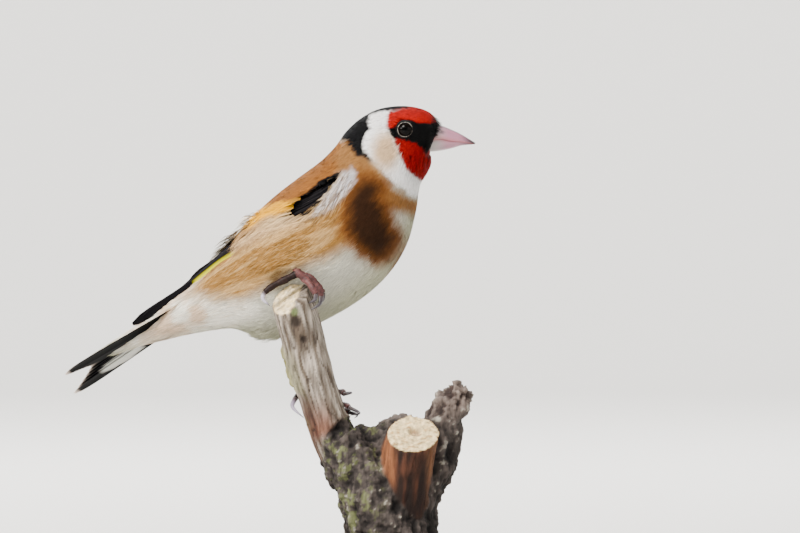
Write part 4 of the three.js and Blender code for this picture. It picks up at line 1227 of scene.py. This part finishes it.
FEET = {
    "right": {
        "leg": [(-16.4, 7.5, 101), (-15.4, 4, 97), (-13.9, -1.2, 90.2)],
        "toes": [
            [(-17.2, -1.7, 88.5), (-20.5, -2.3, 86.8), (-22.7, -2.8, 85.1)],
            [(-10.4, -2.6, 88.8), (-8.1, -3.2, 86.4), (-7.6, -3.4, 84)],
            [(-11.4, -4.8, 88.2), (-9.9, -6.4, 86.4), (-8.9, -6.9, 84.6)],
            [(-10.6, 1.2, 89.6), (-8.2, 2.2, 87.4), (-7.2, 2.6, 85)],
        ],
        "claws": [
            [(-23.1, -3.2, 83.4), (-21.2, -3.6, 81.4)], [(-8, -4, 82), (-10.3, -5, 80.4)],
            [(-9.2, -7.2, 83.2), (-10.9, -6.9, 82.2)], [(-7.3, 2.8, 83), (-9.2, 2.9, 81.4)],
        ],
    },
    "left": {
        "leg": [(-13, 17, 80), (-11.3, 13.2, 69.5), (-6.9, 8.6, 56.6)],
        "toes": [
            [(-10.2, 7.4, 57.6), (-13.2, 4.6, 57.8), (-14.6, 0.8, 56.6)],
            [(-3.8, 7.2, 57.8), (-2.0, 4.8, 58.4), (-1.5, 1.8, 57.8)],
            [(-3.8, 7.4, 55.2), (-1.2, 5.2, 54.8), (-0.1, 2.0, 54.2)],
            [(-4.2, 7.8, 54.0), (-1.6, 6.4, 53.2), (0.0, 4.0, 52.8)],
        ],
        "claws": [
            [(-15.2, -1.8, 54.4), (-12.2, -4.6, 51.6)], [(0.4, 0.2, 58.2), (-1, -1.8, 57.8)],
            [(2.6, -0.4, 52.8), (0.2, -3.2, 52.2)], [(2.0, 2.4, 52.2), (1.3, 0.2, 51.4)],
        ],
    },
}


SCUTES = 10
SCUTE_DEPTH = 0.15


def scute_ring(count, depth):
    """Rings of scales round a leg or toe."""

    def wobble(t, a):
        saw = np.modf(t * count)[0]
        return depth * (smooth(saw, 0, 0.2) * (1 - 0.6 * saw)) * (0.75 + 0.25 * np.cos(a)) + 0 * a

    return wobble


def make_foot(name):
    """A leg with its toes as one piece, and a horn claw on each toe."""
    foot = FEET[name]
    ball = foot["leg"][-1]
    skin_parts = []

    def add(line, radii, light, dark):
        points, quads, tris = tube(np.array(line, float), radii, 16, 90, scute_ring(SCUTES, SCUTE_DEPTH))
        tone = 0.5 + 0.5 * fuzz(points[:, 0] * 1.3 + points[:, 1], points[:, 2] * 1.3, 1.1, 41)
        saw = np.append(np.repeat(np.modf(np.linspace(0, 1, 90) * SCUTES)[0], 16), [0, 0])
        tone = np.clip(tone * 0.8 + 0.5 * smooth(saw, 0.25, 0.0), 0, 1)
        skin_parts.append((points, quads, tris, mix(srgb(light), srgb(dark), tone[:, None]), None, None))

    add(foot["leg"], [1.45, 1.0, 0.95, 1.15], "7a4c42", "2c1c1b")
    for i, toe in enumerate(foot["toes"]):
        # Painted shadow: the hind toes are painted near black for the shade they lie in; the front toes
        # keep the skin's pink-brown
        light, dark = ("24130f", "0e0807") if i == 0 else ("66403f", "150b0c")
        thin = 1.0 if name == "right" else 0.82
        add([ball, *toe], [1.1, 0.85, 1.0, 0.75 * thin, 0.88 * thin, 0.7 * thin], light, dark)
    points, quads, tris, paint, _, _ = merged(skin_parts)
    leg = build_mesh(f"foot_{name}", points, quads, tris, paint, "leg")
    place_piece(leg, "leg_skin", f"leg_{name}")
    for i, (toe, claw) in enumerate(zip(foot["toes"], foot["claws"])):
        line = np.array([toe[-1], *claw], float)
        thick = 1.0 if name == "right" or i == 0 else 0.75
        points, quads, tris = tube(line, np.array([0.7, 0.62, 0.46, 0.28, 0.06]) * thick, 12, 26)
        along = np.append(np.repeat(np.linspace(0, 1, 26), 12), [0, 1])[:, None]
        pale = srgb("a8a0ae" if name == "right" else "82788a") if i == 0 else srgb("352e34")
        colours = mix(srgb("3a2e2e"), pale, smooth(along, 0.05, 0.3))
        colours = mix(colours, srgb("1c181c"), smooth(along, 0.6, 1))
        piece = build_mesh(f"claw_{name}_{i + 1}_horn", points, quads, tris, colours, "claw")
        place_piece(piece, "horn", f"claw_{name}_{i + 1}")
    return leg


# Perch and stand

PERCH_FOOT = np.array([12.7, -0.5, 15.9])
PERCH_VOXEL = 0.42
# Limbs of the perch: centre line and radii, and the planes that the stem and stub are cut by
LIMBS = {
    "stem": (STEM_LINE, np.array([1, 1, 0.99, 0.97, 0.95, 0.95, 0.98, 1.05]) * STEM_RADIUS),
    "swell": ([(-2.6, 0, 46), (2.2, 0, 38), (7.6, -0.3, 29), (12.7, -0.5, 15.9)], [6.6, 8.6, 10.8, 10.4]),
    "saddle": ([(1, 1.5, 44), (8, 3, 43), (17.5, 4, 45.5)], [5.2, 7, 7.4]),
    "snag": ([(13, 1.5, 20), (16, 2.5, 29.8), (22, 4, 38.8), (24.4, 4.6, 46), (25.2, 4.4, 51.4),
              (27.9, 4, 55.9), (30.6, 3.6, 59.6)], [10.6, 8.4, 6.8, 6.2, 5.6, 4.5, 2.6]),
    "stub": ([(13, -1, 25), (14.6, -3.4, 36), (18.2, -7.6, 53)], [8, 7.2, 6.7]),
}
CUTS = {
    "stem": [((-15.6, 0, 83.7), (-0.44, -0.5, 0.75)), ((-15, 0, 88.4), (0.1, 0.15, 1)),
             ((-10.9, 0, 86.3), (0.9, -0.3, 0.3))],
    "stub": [((17, -6.2, 47.4), (0.05, -0.6, 0.8))],
}


def cut_by(points, name):
    """Points past a limb's cutting planes, laid on them."""
    for at, facing in CUTS.get(name, []):
        way = unit(np.array(facing, float))
        over = np.maximum((points - np.array(at)) @ way, 0)
        points = points - over[:, None] * way
    return points


def noise_at(points, scale, seed, octaves=1):
    """Noise from about -1 to 1 at points, with a scale per mm for all axes or for each."""
    shift = np.array([seed * 17.3, seed * -9.1, seed * 4.7])
    placed = points * np.array(scale) + shift
    if octaves == 1:
        return np.array([noise.noise(Vector(p)) for p in placed])
    return np.array([noise.fractal(Vector(p), 0.9, 2.1, octaves) for p in placed])


def nearest_limb(points):
    """For each point: the limb whose surface is nearest, and for the stem its length and turn in mm."""
    best = np.full(len(points), 1e9)
    owner = np.zeros(len(points), int)
    run = np.zeros(len(points))
    turn = np.zeros(len(points))
    for k, (line, radii) in enumerate(LIMBS.values()):
        t = np.linspace(0, 1, 80)
        centre = spline(line, t)
        radius = spline(np.asarray(radii, float)[:, None], t)[:, 0]
        away = points[:, None] - centre[None]
        reach = np.linalg.norm(away, axis=-1) - radius
        at = reach.argmin(1)
        nearest = reach[np.arange(len(points)), at]
        closer = nearest < best
        best = np.where(closer, nearest, best)
        owner = np.where(closer, k, owner)
        off = away[np.arange(len(points)), at]
        length = np.concatenate([[0], np.cumsum(np.linalg.norm(np.diff(centre, axis=0), axis=1))])
        run = np.where(closer, length[at], run)
        turn = np.where(closer, np.arctan2(off[:, 1], off[:, 0]) * radius[at], turn)
    return owner, run, turn


def soften(values, mesh, rounds):
    """Values at a mesh's points, evened out with their neighbours."""
    edges = np.empty(len(mesh.edges) * 2, np.int32)
    mesh.edges.foreach_get("vertices", edges)
    edges = edges.reshape(-1, 2)
    degree = np.bincount(edges.ravel(), minlength=len(values))
    for _ in range(rounds):
        total = np.bincount(edges[:, 0], values[edges[:, 1]], len(values))
        total += np.bincount(edges[:, 1], values[edges[:, 0]], len(values))
        values = 0.5 * values + 0.5 * total / np.maximum(degree, 1)
    return values


def one_solid(name, parts, voxel):
    """Overlapping closed shells made into one mesh, as a mesh with its points and normals in mm."""
    points, quads, tris, paint, _, _ = merged(parts)
    rough = build_mesh(name, points, quads, tris, paint, "wood")
    remesh = rough.modifiers.new("One solid", "REMESH")
    remesh.mode = "VOXEL"
    remesh.voxel_size = voxel * MM
    solid = bpy.data.meshes.new_from_object(rough.evaluated_get(bpy.context.evaluated_depsgraph_get()))
    bpy.data.objects.remove(rough)
    at = np.empty(len(solid.vertices) * 3, np.float32)
    solid.vertices.foreach_get("co", at)
    normals = np.empty(len(solid.vertices) * 3, np.float32)
    solid.vertices.foreach_get("normal", normals)
    return solid, at.reshape(-1, 3).astype(float) / MM, normals.reshape(-1, 3).astype(float)


def spot(at, place, size):
    """One within a round spot of the wood, fading to nothing at its edge."""
    return smooth(np.linalg.norm(at - np.array(place), axis=1), size, size * 0.4)


def make_perch():
    """The stem, swollen joint, sawn stub and broken snag as one wood, bare, reddish or barked by place."""
    parts = []
    for name, (line, radii) in LIMBS.items():
        points, quads, tris = tube(np.array(line, float), radii, 56, 90)
        points = cut_by(points, name)
        points[:, 2] = np.maximum(points[:, 2], PERCH_FOOT[2])
        parts.append((points, quads, tris, PLUMAGE["grey"], None, None))
    solid, at, normals = one_solid("perch_rough", parts, PERCH_VOXEL)
    owner, run, turn = nearest_limb(at)
    names = list(LIMBS)
    on_stem = (owner == names.index("stem")).astype(float)
    on_stub = (owner == names.index("stub")).astype(float)
    # The bark's collar runs slanting across the foot of the stem
    collar = (at[:, 2] - 44.0) - 0.95 * (at[:, 0] + 4.0) + 1.6 * noise_at(at, 0.3, 8)
    bare_stem = soften(on_stem, solid, 3) * smooth(collar, -0.8, 0.8)
    bare_stub = soften(on_stub, solid, 3) * smooth(at[:, 1], 2.5, 0.5) * smooth(at[:, 2], 22.0, 25.0)
    bark = np.clip(1 - bare_stem - bare_stub, 0, 1)

    on_cut = {}
    for name, planes in CUTS.items():
        faces = np.zeros(len(at))
        for place, facing in planes:
            way = unit(np.array(facing, float))
            near = smooth(np.abs((at - np.array(place)) @ way), 1.0, 0.4) * smooth(normals @ way, 0.7, 0.9)
            faces = np.maximum(faces, near)
        on_cut[name] = faces
    # Only the near left of the stem's broken top is painted as pale open wood; the facet to its right keeps
    # the colour of the stem's side
    edge = (at[:, 0] + 12.0) + 0.42 * (88.6 - at[:, 2]) - 0.7 * noise_at(at, 0.5, 9)
    pale_top_left = on_cut["stem"] * smooth(edge, 0.4, -0.4)
    sawn = on_cut["stub"]
    cut = np.maximum(pale_top_left, sawn)

    # Relief, in mm: fibres and cracks along the bare wood, ridges and chips of bark
    grain = fuzz(turn / 1.1, run / 9.0, 1.0, 11)
    fibre = fuzz(turn / 0.45, run / 5.0, 1.0, 12)
    cracks = smooth(np.abs(fuzz(turn / 1.7, run / 12.0, 1.0, 13)), 0.09, 0.0)
    lumps = noise_at(at, 0.14, 3)
    crust = noise_at(at, (0.33, 0.33, 0.28), 4, 5)
    chips = noise_at(at, 0.9, 14, 4)
    ridges = 1 - 2 * np.abs(noise_at(at, (0.28, 0.28, 0.12), 15))
    stem_relief = 0.28 * lumps + 0.16 * grain + 0.09 * fibre - 0.32 * cracks
    stub_relief = 0.3 * lumps + 0.1 * grain - 0.25 * cracks
    bark_relief = 0.75 * crust + 0.9 * ridges + 0.35 * chips - 0.4
    relief = bare_stem * stem_relief + bare_stub * stub_relief + bark * bark_relief
    relief = mix(relief, 0.22 * chips, cut)
    hollow = spot(at, (17.6, -5.2, 47.6), 2.2)
    relief = relief - 1.1 * hollow * sawn
    flake = on_stem * smooth(at[:, 2], 57.5, 59.0) * smooth(at[:, 2], 71.5, 69.5)
    flake = flake * smooth(np.abs(turn), 15.6, 17.0)
    flake = flake * smooth(noise_at(at, (0.5, 0.5, 0.35), 16), -0.15, 0.15)
    relief = relief + 0.9 * flake
    knot = spot(at, (-14.3, -5.6, 77.2), 2.2) + spot(at, (-12.0, -5.6, 72.5), 1.4)
    relief = relief - 0.5 * knot
    shoulder = spot(at, (21.0, 3.0, 42.5), 5.0) * (0.6 + chips)
    relief = relief + 1.4 * shoulder * bark
    torn = smooth(at[:, 2], 52.0, 60.0) * bark
    relief = relief + torn * 0.9 * chips
    foot = smooth(at[:, 2], PERCH_FOOT[2] + 0.3, PERCH_FOOT[2] + 2.0)
    at = at + normals * (relief * foot)[:, None]

    # Colours of the bare stem, the stub's side, the bark and the open wood
    tone = smooth(0.6 * grain + 0.5 * fibre + 0.5 * lumps, -0.7, 0.8)[:, None]
    wood = mix(srgb("4a3f35"), srgb("a1968a"), tone)
    red_low = smooth(at[:, 2], 60, 48) * smooth(noise_at(at, (0.15, 0.15, 0.1), 17), -0.5, 0.2)
    wood = mix(wood, mix(srgb("3d1d13"), srgb("74432e"), tone), (0.85 * red_low)[:, None])
    mossy = smooth(at[:, 2], 75, 62) * smooth(at[:, 2], 46, 54) * smooth(lumps, -0.3, 0.2)
    wood = tint(wood, "6f7046", 0.6 * mossy * smooth(at[:, 0] + 0.25 * at[:, 2], 4.0, 0.0))
    wood = tint(wood, "241c17", 0.7 * cracks)
    wood = tint(wood, "1d1510", np.clip(0.85 * knot, 0, 1))
    wood = tint(wood, "5a6a3a", 0.7 * spot(at, (-14.6, -5.4, 80.0), 1.6))
    # Painted shade: the stub's reddish wood is painted dark brown for the shade on its side, and darker
    # still towards the bottom as painted shadow; towards its left and right edges it turns lighter and
    # redder
    stub_side_with_shade = tint(srgb("1c110d"), "4c2d1f", smooth(0.7 * grain + lumps, -0.6, 0.7))
    stub_side_with_shade = tint(stub_side_with_shade, "140d0a", 0.6 * smooth(at[:, 2], 40, 30) * smooth(lumps, -0.4, 0.2))
    stub_side_with_shade = tint(stub_side_with_shade, "7b4c30", 0.8 * smooth(at[:, 0], 13.2, 11.2) * smooth(at[:, 2], 30, 38))
    stub_side_with_shade = tint(stub_side_with_shade, "744e30", 0.5 * smooth(at[:, 0], 19.5, 22.5))
    # The bark is laid lighter on its raised ridges and crust and darker in its furrows: partly its own
    # weathering, partly painted highlight and shade. The snag's greyer top goes the same way
    rind = tint(srgb("120e0d"), "4a423e", smooth(0.7 * crust + 0.5 * ridges + 0.4 * chips, -0.4, 1.0))
    grey_tip = tint(srgb("352925"), "786a62", smooth(ridges + chips, -0.2, 1.0))
    rind = mix(rind, grey_tip, (0.7 * smooth(at[:, 2], 48, 56))[:, None])
    shade = noise_at(at, (0.07, 0.07, 0.05), 18)
    rind = tint(rind, "0d0a09", 0.6 * smooth(shade, 0.0, 0.35))
    rind = tint(rind, "9a9588", 0.7 * smooth(chips + 0.8 * crust, 0.62, 1.0) * smooth(shade, 0.25, -0.1))
    green = smooth(crust - 0.6 * chips, 0.1, 0.5) * smooth(at[:, 0], 12.0, 2.0)
    rind = tint(rind, "62683f", 0.65 * green)
    colours = bare_stem[:, None] * wood + bare_stub[:, None] * stub_side_with_shade + bark[:, None] * rind
    rings = 0.5 + 0.5 * np.sin(np.linalg.norm(at - np.array([17.4, -6.0, 47.4]), axis=1) * 4.5)
    open_wood = tint(srgb("dcc494"), "b08d5c", smooth(chips + 0.4 * rings, 0.1, 0.9))
    open_wood = tint(open_wood, "efe0bd", 0.8 * pale_top_left * smooth(chips, -0.2, 0.5))
    colours = mix(colours, open_wood, cut[:, None])
    colours = tint(colours, "8a7258", 0.8 * hollow * sawn)
    colours = tint(colours, "7d7a3c", 0.8 * flake)

    solid.vertices.foreach_set("co", (at * MM).astype(np.float32).ravel())
    solid.polygons.foreach_set("use_smooth", np.ones(len(solid.polygons), bool))
    for attribute in list(solid.color_attributes):
        solid.color_attributes.remove(attribute)
    layer = solid.color_attributes.new("Paint", "FLOAT_COLOR", "POINT")
    rgba = np.ones((len(at), 4), np.float32)
    rgba[:, :3] = np.clip(colours, 0, 1)
    layer.data.foreach_set("color", rgba.ravel())
    solid.materials.clear()
    solid.materials.append(material("wood"))
    solid.update()
    perch = bpy.data.objects.new("perch_wood", solid)
    bpy.context.scene.collection.objects.link(perch)
    return place_piece(perch, "perch_wood", "perch_stem", "perch_knob", "perch_snag", "perch_stub")


ROD_RADIUS = 3.2
BASE_RADIUS = 46
BASE_HEIGHT = 7


def lathe(profile, sides):
    """A closed solid turned from (radius, height) pairs, with its first and last on the axis or capped."""
    profile = np.array(profile, float)
    a = np.linspace(0, 2 * math.pi, sides, endpoint=False)[None, :]
    r, z = profile[:, :1], profile[:, 1:]
    points = np.stack([r * np.cos(a), r * np.sin(a), z + 0 * a], -1).reshape(-1, 3)
    points = np.concatenate([points, [[0, 0, profile[0, 1]], [0, 0, profile[-1, 1]]]])
    return points, grid_faces(len(profile), sides, True), end_caps(len(profile), sides)


def make_stand(base_radius, rod_radius):
    """A round base and an upright rod, plain and dark, that hold the perch."""
    edge = [(base_radius - 1.2 + 1.2 * math.sin(a), BASE_HEIGHT - 1.2 + 1.2 * math.cos(a))
            for a in np.linspace(math.pi / 2, 0, 7)]
    base_profile = [(base_radius - 0.4, 0), (base_radius, 0.4), *edge]
    points, quads, tris = lathe(base_profile, 160)
    base = build_mesh("stand_base_disc", points, quads, tris, srgb(STAND_COLOUR), "stand")
    place_piece(base, "stand_paint", "stand_base")
    collar = [(rod_radius + 2.2, BASE_HEIGHT), (rod_radius + 2.0, BASE_HEIGHT + 0.9),
              (rod_radius, BASE_HEIGHT + 1.6), (rod_radius, PERCH_FOOT[2] + 0.3)]
    points, quads, tris = lathe(collar, 64)
    points[:, :2] += PERCH_FOOT[:2]
    rod = build_mesh("stand_rod_post", points, quads, tris, srgb(STAND_COLOUR), "stand")
    place_piece(rod, "stand_paint", "stand_rod")
    return base, rod


# Studio

PHOTO_WIDTH = 216.0
CAMERA_DISTANCE = 1500.0
CAMERA_AIM = (13.5, 92.0)
BIRD_DEPTH = 13.0
SENSOR = 36.0
SKY = 0.27
# The floor's flat part, the radius of its curve and where that starts, and the wall's reach and height
FLOOR_FLAT = 1200
FLOOR_CURVE = 900
FLOOR_START = 2600
WALL_REACH = 3500
WALL_HEIGHT = 2400
# Each light's place, aim, width, power and colour
LIGHTS = {
    "key": ((-560, -900, 1250), (0, 0, 90), 700, 64.0, (1.0, 0.965, 0.91)),
    "fill": ((1100, -1000, 500), (0, 0, 80), 1000, 5.0, (0.92, 0.96, 1.0)),
    "catch": ((-1000, -680, 560), (10, 0, 125), 300, 14.0, (1.0, 0.99, 0.97)),
    "rim": ((-300, 1100, 1000), (0, 0, 100), 500, 12.0, (1.0, 1.0, 1.0)),
    "backdrop": ((0, 900, 2200), (0, 3300, 500), 1400, 170.0, (1.0, 1.0, 1.0)),
}


def add_light(name, place, aim, size, power, colour):
    """A round soft light at a place in mm, turned toward its aim."""
    lamp = bpy.data.lights.new(name, "AREA")
    lamp.shape = "DISK"
    lamp.size = size * MM
    lamp.energy = power
    lamp.color = colour
    made = bpy.data.objects.new(name, lamp)
    made.location = Vector(place) * MM
    made.rotation_euler = (Vector(aim) - Vector(place)).to_track_quat("-Z", "Y").to_euler()
    bpy.context.scene.collection.objects.link(made)


def make_stage(key_power, sky):
    """A pale floor that curves up all round, soft studio lights and the camera."""
    turn = np.linspace(math.pi / 2, 0, 16)
    curve = [(FLOOR_START + FLOOR_CURVE * math.cos(a), FLOOR_CURVE * (1 - math.sin(a))) for a in turn]
    points, quads, tris = lathe([(5, 0), (FLOOR_FLAT, 0), *curve, (WALL_REACH, WALL_HEIGHT)], 96)
    floor = build_mesh("floor", points, quads[:, ::-1], tris[:96, ::-1], srgb(FLOOR_COLOUR), "floor")
    for name, (place, aim, size, power, colour) in LIGHTS.items():
        add_light(name, place, aim, size, key_power if name == "key" else power, colour)
    world = bpy.data.worlds.new("studio")
    world.use_nodes = True
    world.node_tree.nodes["Background"].inputs["Color"].default_value = (0.9, 0.94, 1.0, 1)
    world.node_tree.nodes["Background"].inputs["Strength"].default_value = sky
    bpy.context.scene.world = world
    lens = bpy.data.cameras.new("camera")
    lens.sensor_width = SENSOR
    lens.sensor_fit = "HORIZONTAL"
    lens.lens = SENSOR * (CAMERA_DISTANCE + BIRD_DEPTH) / PHOTO_WIDTH
    lens.clip_start = 0.05
    lens.clip_end = 20
    camera = bpy.data.objects.new("camera", lens)
    camera.location = Vector((CAMERA_AIM[0], -CAMERA_DISTANCE, CAMERA_AIM[1])) * MM
    camera.rotation_euler = (math.pi / 2, 0, 0)
    bpy.context.scene.collection.objects.link(camera)
    bpy.context.scene.camera = camera
    return floor


# Add-on


class PlumageSettings(bpy.types.PropertyGroup):
    """The feathers' make and their main colours."""

    blades: bpy.props.IntProperty(
        name="Blades", description="Narrow blades in each tuft of the coat", default=BLADES, min=3, max=24)
    tuft_length: bpy.props.FloatProperty(
        name="Tuft length", description="Length of the tufts against the usual one", default=1.0, min=0.5,
        max=1.5, subtype="FACTOR")
    back: bpy.props.FloatVectorProperty(
        name="Back", description="Colour of the back", default=PLUMAGE["back"], min=0, max=1,
        subtype="COLOR")
    breast: bpy.props.FloatVectorProperty(
        name="Breast", description="Colour of the breast's dark patch", default=PLUMAGE["breast"], min=0,
        max=1, subtype="COLOR")
    red: bpy.props.FloatVectorProperty(
        name="Chin", description="Red of the chin", default=PLUMAGE["red"], min=0, max=1, subtype="COLOR")
    red_bright: bpy.props.FloatVectorProperty(
        name="Forehead", description="Red of the forehead", default=PLUMAGE["red_bright"], min=0, max=1,
        subtype="COLOR")
    yellow: bpy.props.FloatVectorProperty(
        name="Yellow", description="Yellow over the wing", default=PLUMAGE["yellow"], min=0, max=1,
        subtype="COLOR")


class StandSettings(bpy.types.PropertyGroup):
    """Sizes of the display stand."""

    base_radius: bpy.props.FloatProperty(
        name="Base radius", description="Radius of the round base", default=BASE_RADIUS * MM, min=0.03,
        max=0.08, unit="LENGTH")
    rod_radius: bpy.props.FloatProperty(
        name="Rod radius", description="Radius of the upright rod", default=ROD_RADIUS * MM, min=0.002,
        max=0.006, unit="LENGTH")


class StageSettings(bpy.types.PropertyGroup):
    """Light of the studio."""

    key_power: bpy.props.FloatProperty(
        name="Key light", description="Power of the main light", default=LIGHTS["key"][3], min=0.0,
        max=500.0, unit="POWER")
    sky: bpy.props.FloatProperty(
        name="Ambient light", description="Strength of the light from all round", default=SKY, min=0.0,
        max=2.0)


def use_colours(settings):
    """Takes the panel's colours into the plumage."""
    for name in ("back", "breast", "red", "red_bright", "yellow"):
        PLUMAGE[name] = np.array(getattr(settings, name))


class GOLDFINCH_OT_skin(bpy.types.Operator):
    """Make the skin under the feathers"""

    bl_idname = "goldfinch.skin"
    bl_label = "Skin"

    def execute(self, context):
        use_colours(context.scene.goldfinch_plumage)
        make_skin()
        return {"FINISHED"}


class GOLDFINCH_OT_coat(bpy.types.Operator):
    """Lay the small feathers of the body and head"""

    bl_idname = "goldfinch.coat"
    bl_label = "Coat"

    def execute(self, context):
        settings = context.scene.goldfinch_plumage
        use_colours(settings)
        make_coat(settings.blades, settings.tuft_length)
        make_bristles()
        return {"FINISHED"}


class GOLDFINCH_OT_wings(bpy.types.Operator):
    """Lay the flight feathers and coverts of both wings"""

    bl_idname = "goldfinch.wings"
    bl_label = "Wings"

    def execute(self, context):
        use_colours(context.scene.goldfinch_plumage)
        for hand in (1, -1):
            make_wing(hand)
        return {"FINISHED"}


class GOLDFINCH_OT_tail(bpy.types.Operator):
    """Lay the feathers of the tail"""

    bl_idname = "goldfinch.tail"
    bl_label = "Tail"

    def execute(self, context):
        make_tail()
        return {"FINISHED"}


class GOLDFINCH_OT_head(bpy.types.Operator):
    """Make the eyes and the bill"""

    bl_idname = "goldfinch.head"
    bl_label = "Eyes and Bill"

    def execute(self, context):
        for hand in (1, -1):
            make_eye(hand)
        make_bill()
        return {"FINISHED"}


class GOLDFINCH_OT_feet(bpy.types.Operator):
    """Make the legs, toes and claws"""

    bl_idname = "goldfinch.feet"
    bl_label = "Legs and Claws"

    def execute(self, context):
        for name in FEET:
            make_foot(name)
        return {"FINISHED"}


class GOLDFINCH_OT_perch(bpy.types.Operator):
    """Make the cut branch"""

    bl_idname = "goldfinch.perch"
    bl_label = "Perch"

    def execute(self, context):
        make_perch()
        return {"FINISHED"}


class GOLDFINCH_OT_stand(bpy.types.Operator):
    """Make the display stand under the branch"""

    bl_idname = "goldfinch.stand"
    bl_label = "Stand"

    def execute(self, context):
        settings = context.scene.goldfinch_stand
        make_stand(settings.base_radius / MM, settings.rod_radius / MM)
        return {"FINISHED"}


class GOLDFINCH_OT_stage(bpy.types.Operator):
    """Set up the floor, the lights and the camera"""

    bl_idname = "goldfinch.stage"
    bl_label = "Studio"

    def execute(self, context):
        settings = context.scene.goldfinch_stage
        make_stage(settings.key_power, settings.sky)
        return {"FINISHED"}


STEPS = ("skin", "coat", "wings", "tail", "head", "feet", "perch", "stand", "stage")
SETTINGS = {"plumage": PlumageSettings, "stand": StandSettings, "stage": StageSettings}


class GOLDFINCH_PT_panel(bpy.types.Panel):
    """The settings and the steps, in the order that they are run"""

    bl_label = "Goldfinch"
    bl_idname = "GOLDFINCH_PT_panel"
    bl_space_type = "VIEW_3D"
    bl_region_type = "UI"
    bl_category = "Goldfinch"

    def draw(self, context):
        for name, group in SETTINGS.items():
            box = self.layout.box()
            for key in group.__annotations__:
                box.prop(getattr(context.scene, f"goldfinch_{name}"), key)
        for step in STEPS:
            self.layout.operator(f"goldfinch.{step}")


CLASSES = (
    *SETTINGS.values(), GOLDFINCH_OT_skin, GOLDFINCH_OT_coat, GOLDFINCH_OT_wings, GOLDFINCH_OT_tail,
    GOLDFINCH_OT_head, GOLDFINCH_OT_feet, GOLDFINCH_OT_perch, GOLDFINCH_OT_stand, GOLDFINCH_OT_stage,
    GOLDFINCH_PT_panel,
)


def register():
    for made in CLASSES:
        bpy.utils.register_class(made)
    for name, group in SETTINGS.items():
        setattr(bpy.types.Scene, f"goldfinch_{name}", bpy.props.PointerProperty(type=group))


def unregister():
    for name in SETTINGS:
        delattr(bpy.types.Scene, f"goldfinch_{name}")
    for made in reversed(CLASSES):
        bpy.utils.unregister_class(made)


def main():
    register()
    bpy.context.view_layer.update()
    for step in STEPS:
        getattr(bpy.ops.goldfinch, step)()


if __name__ == "__main__":
    main()
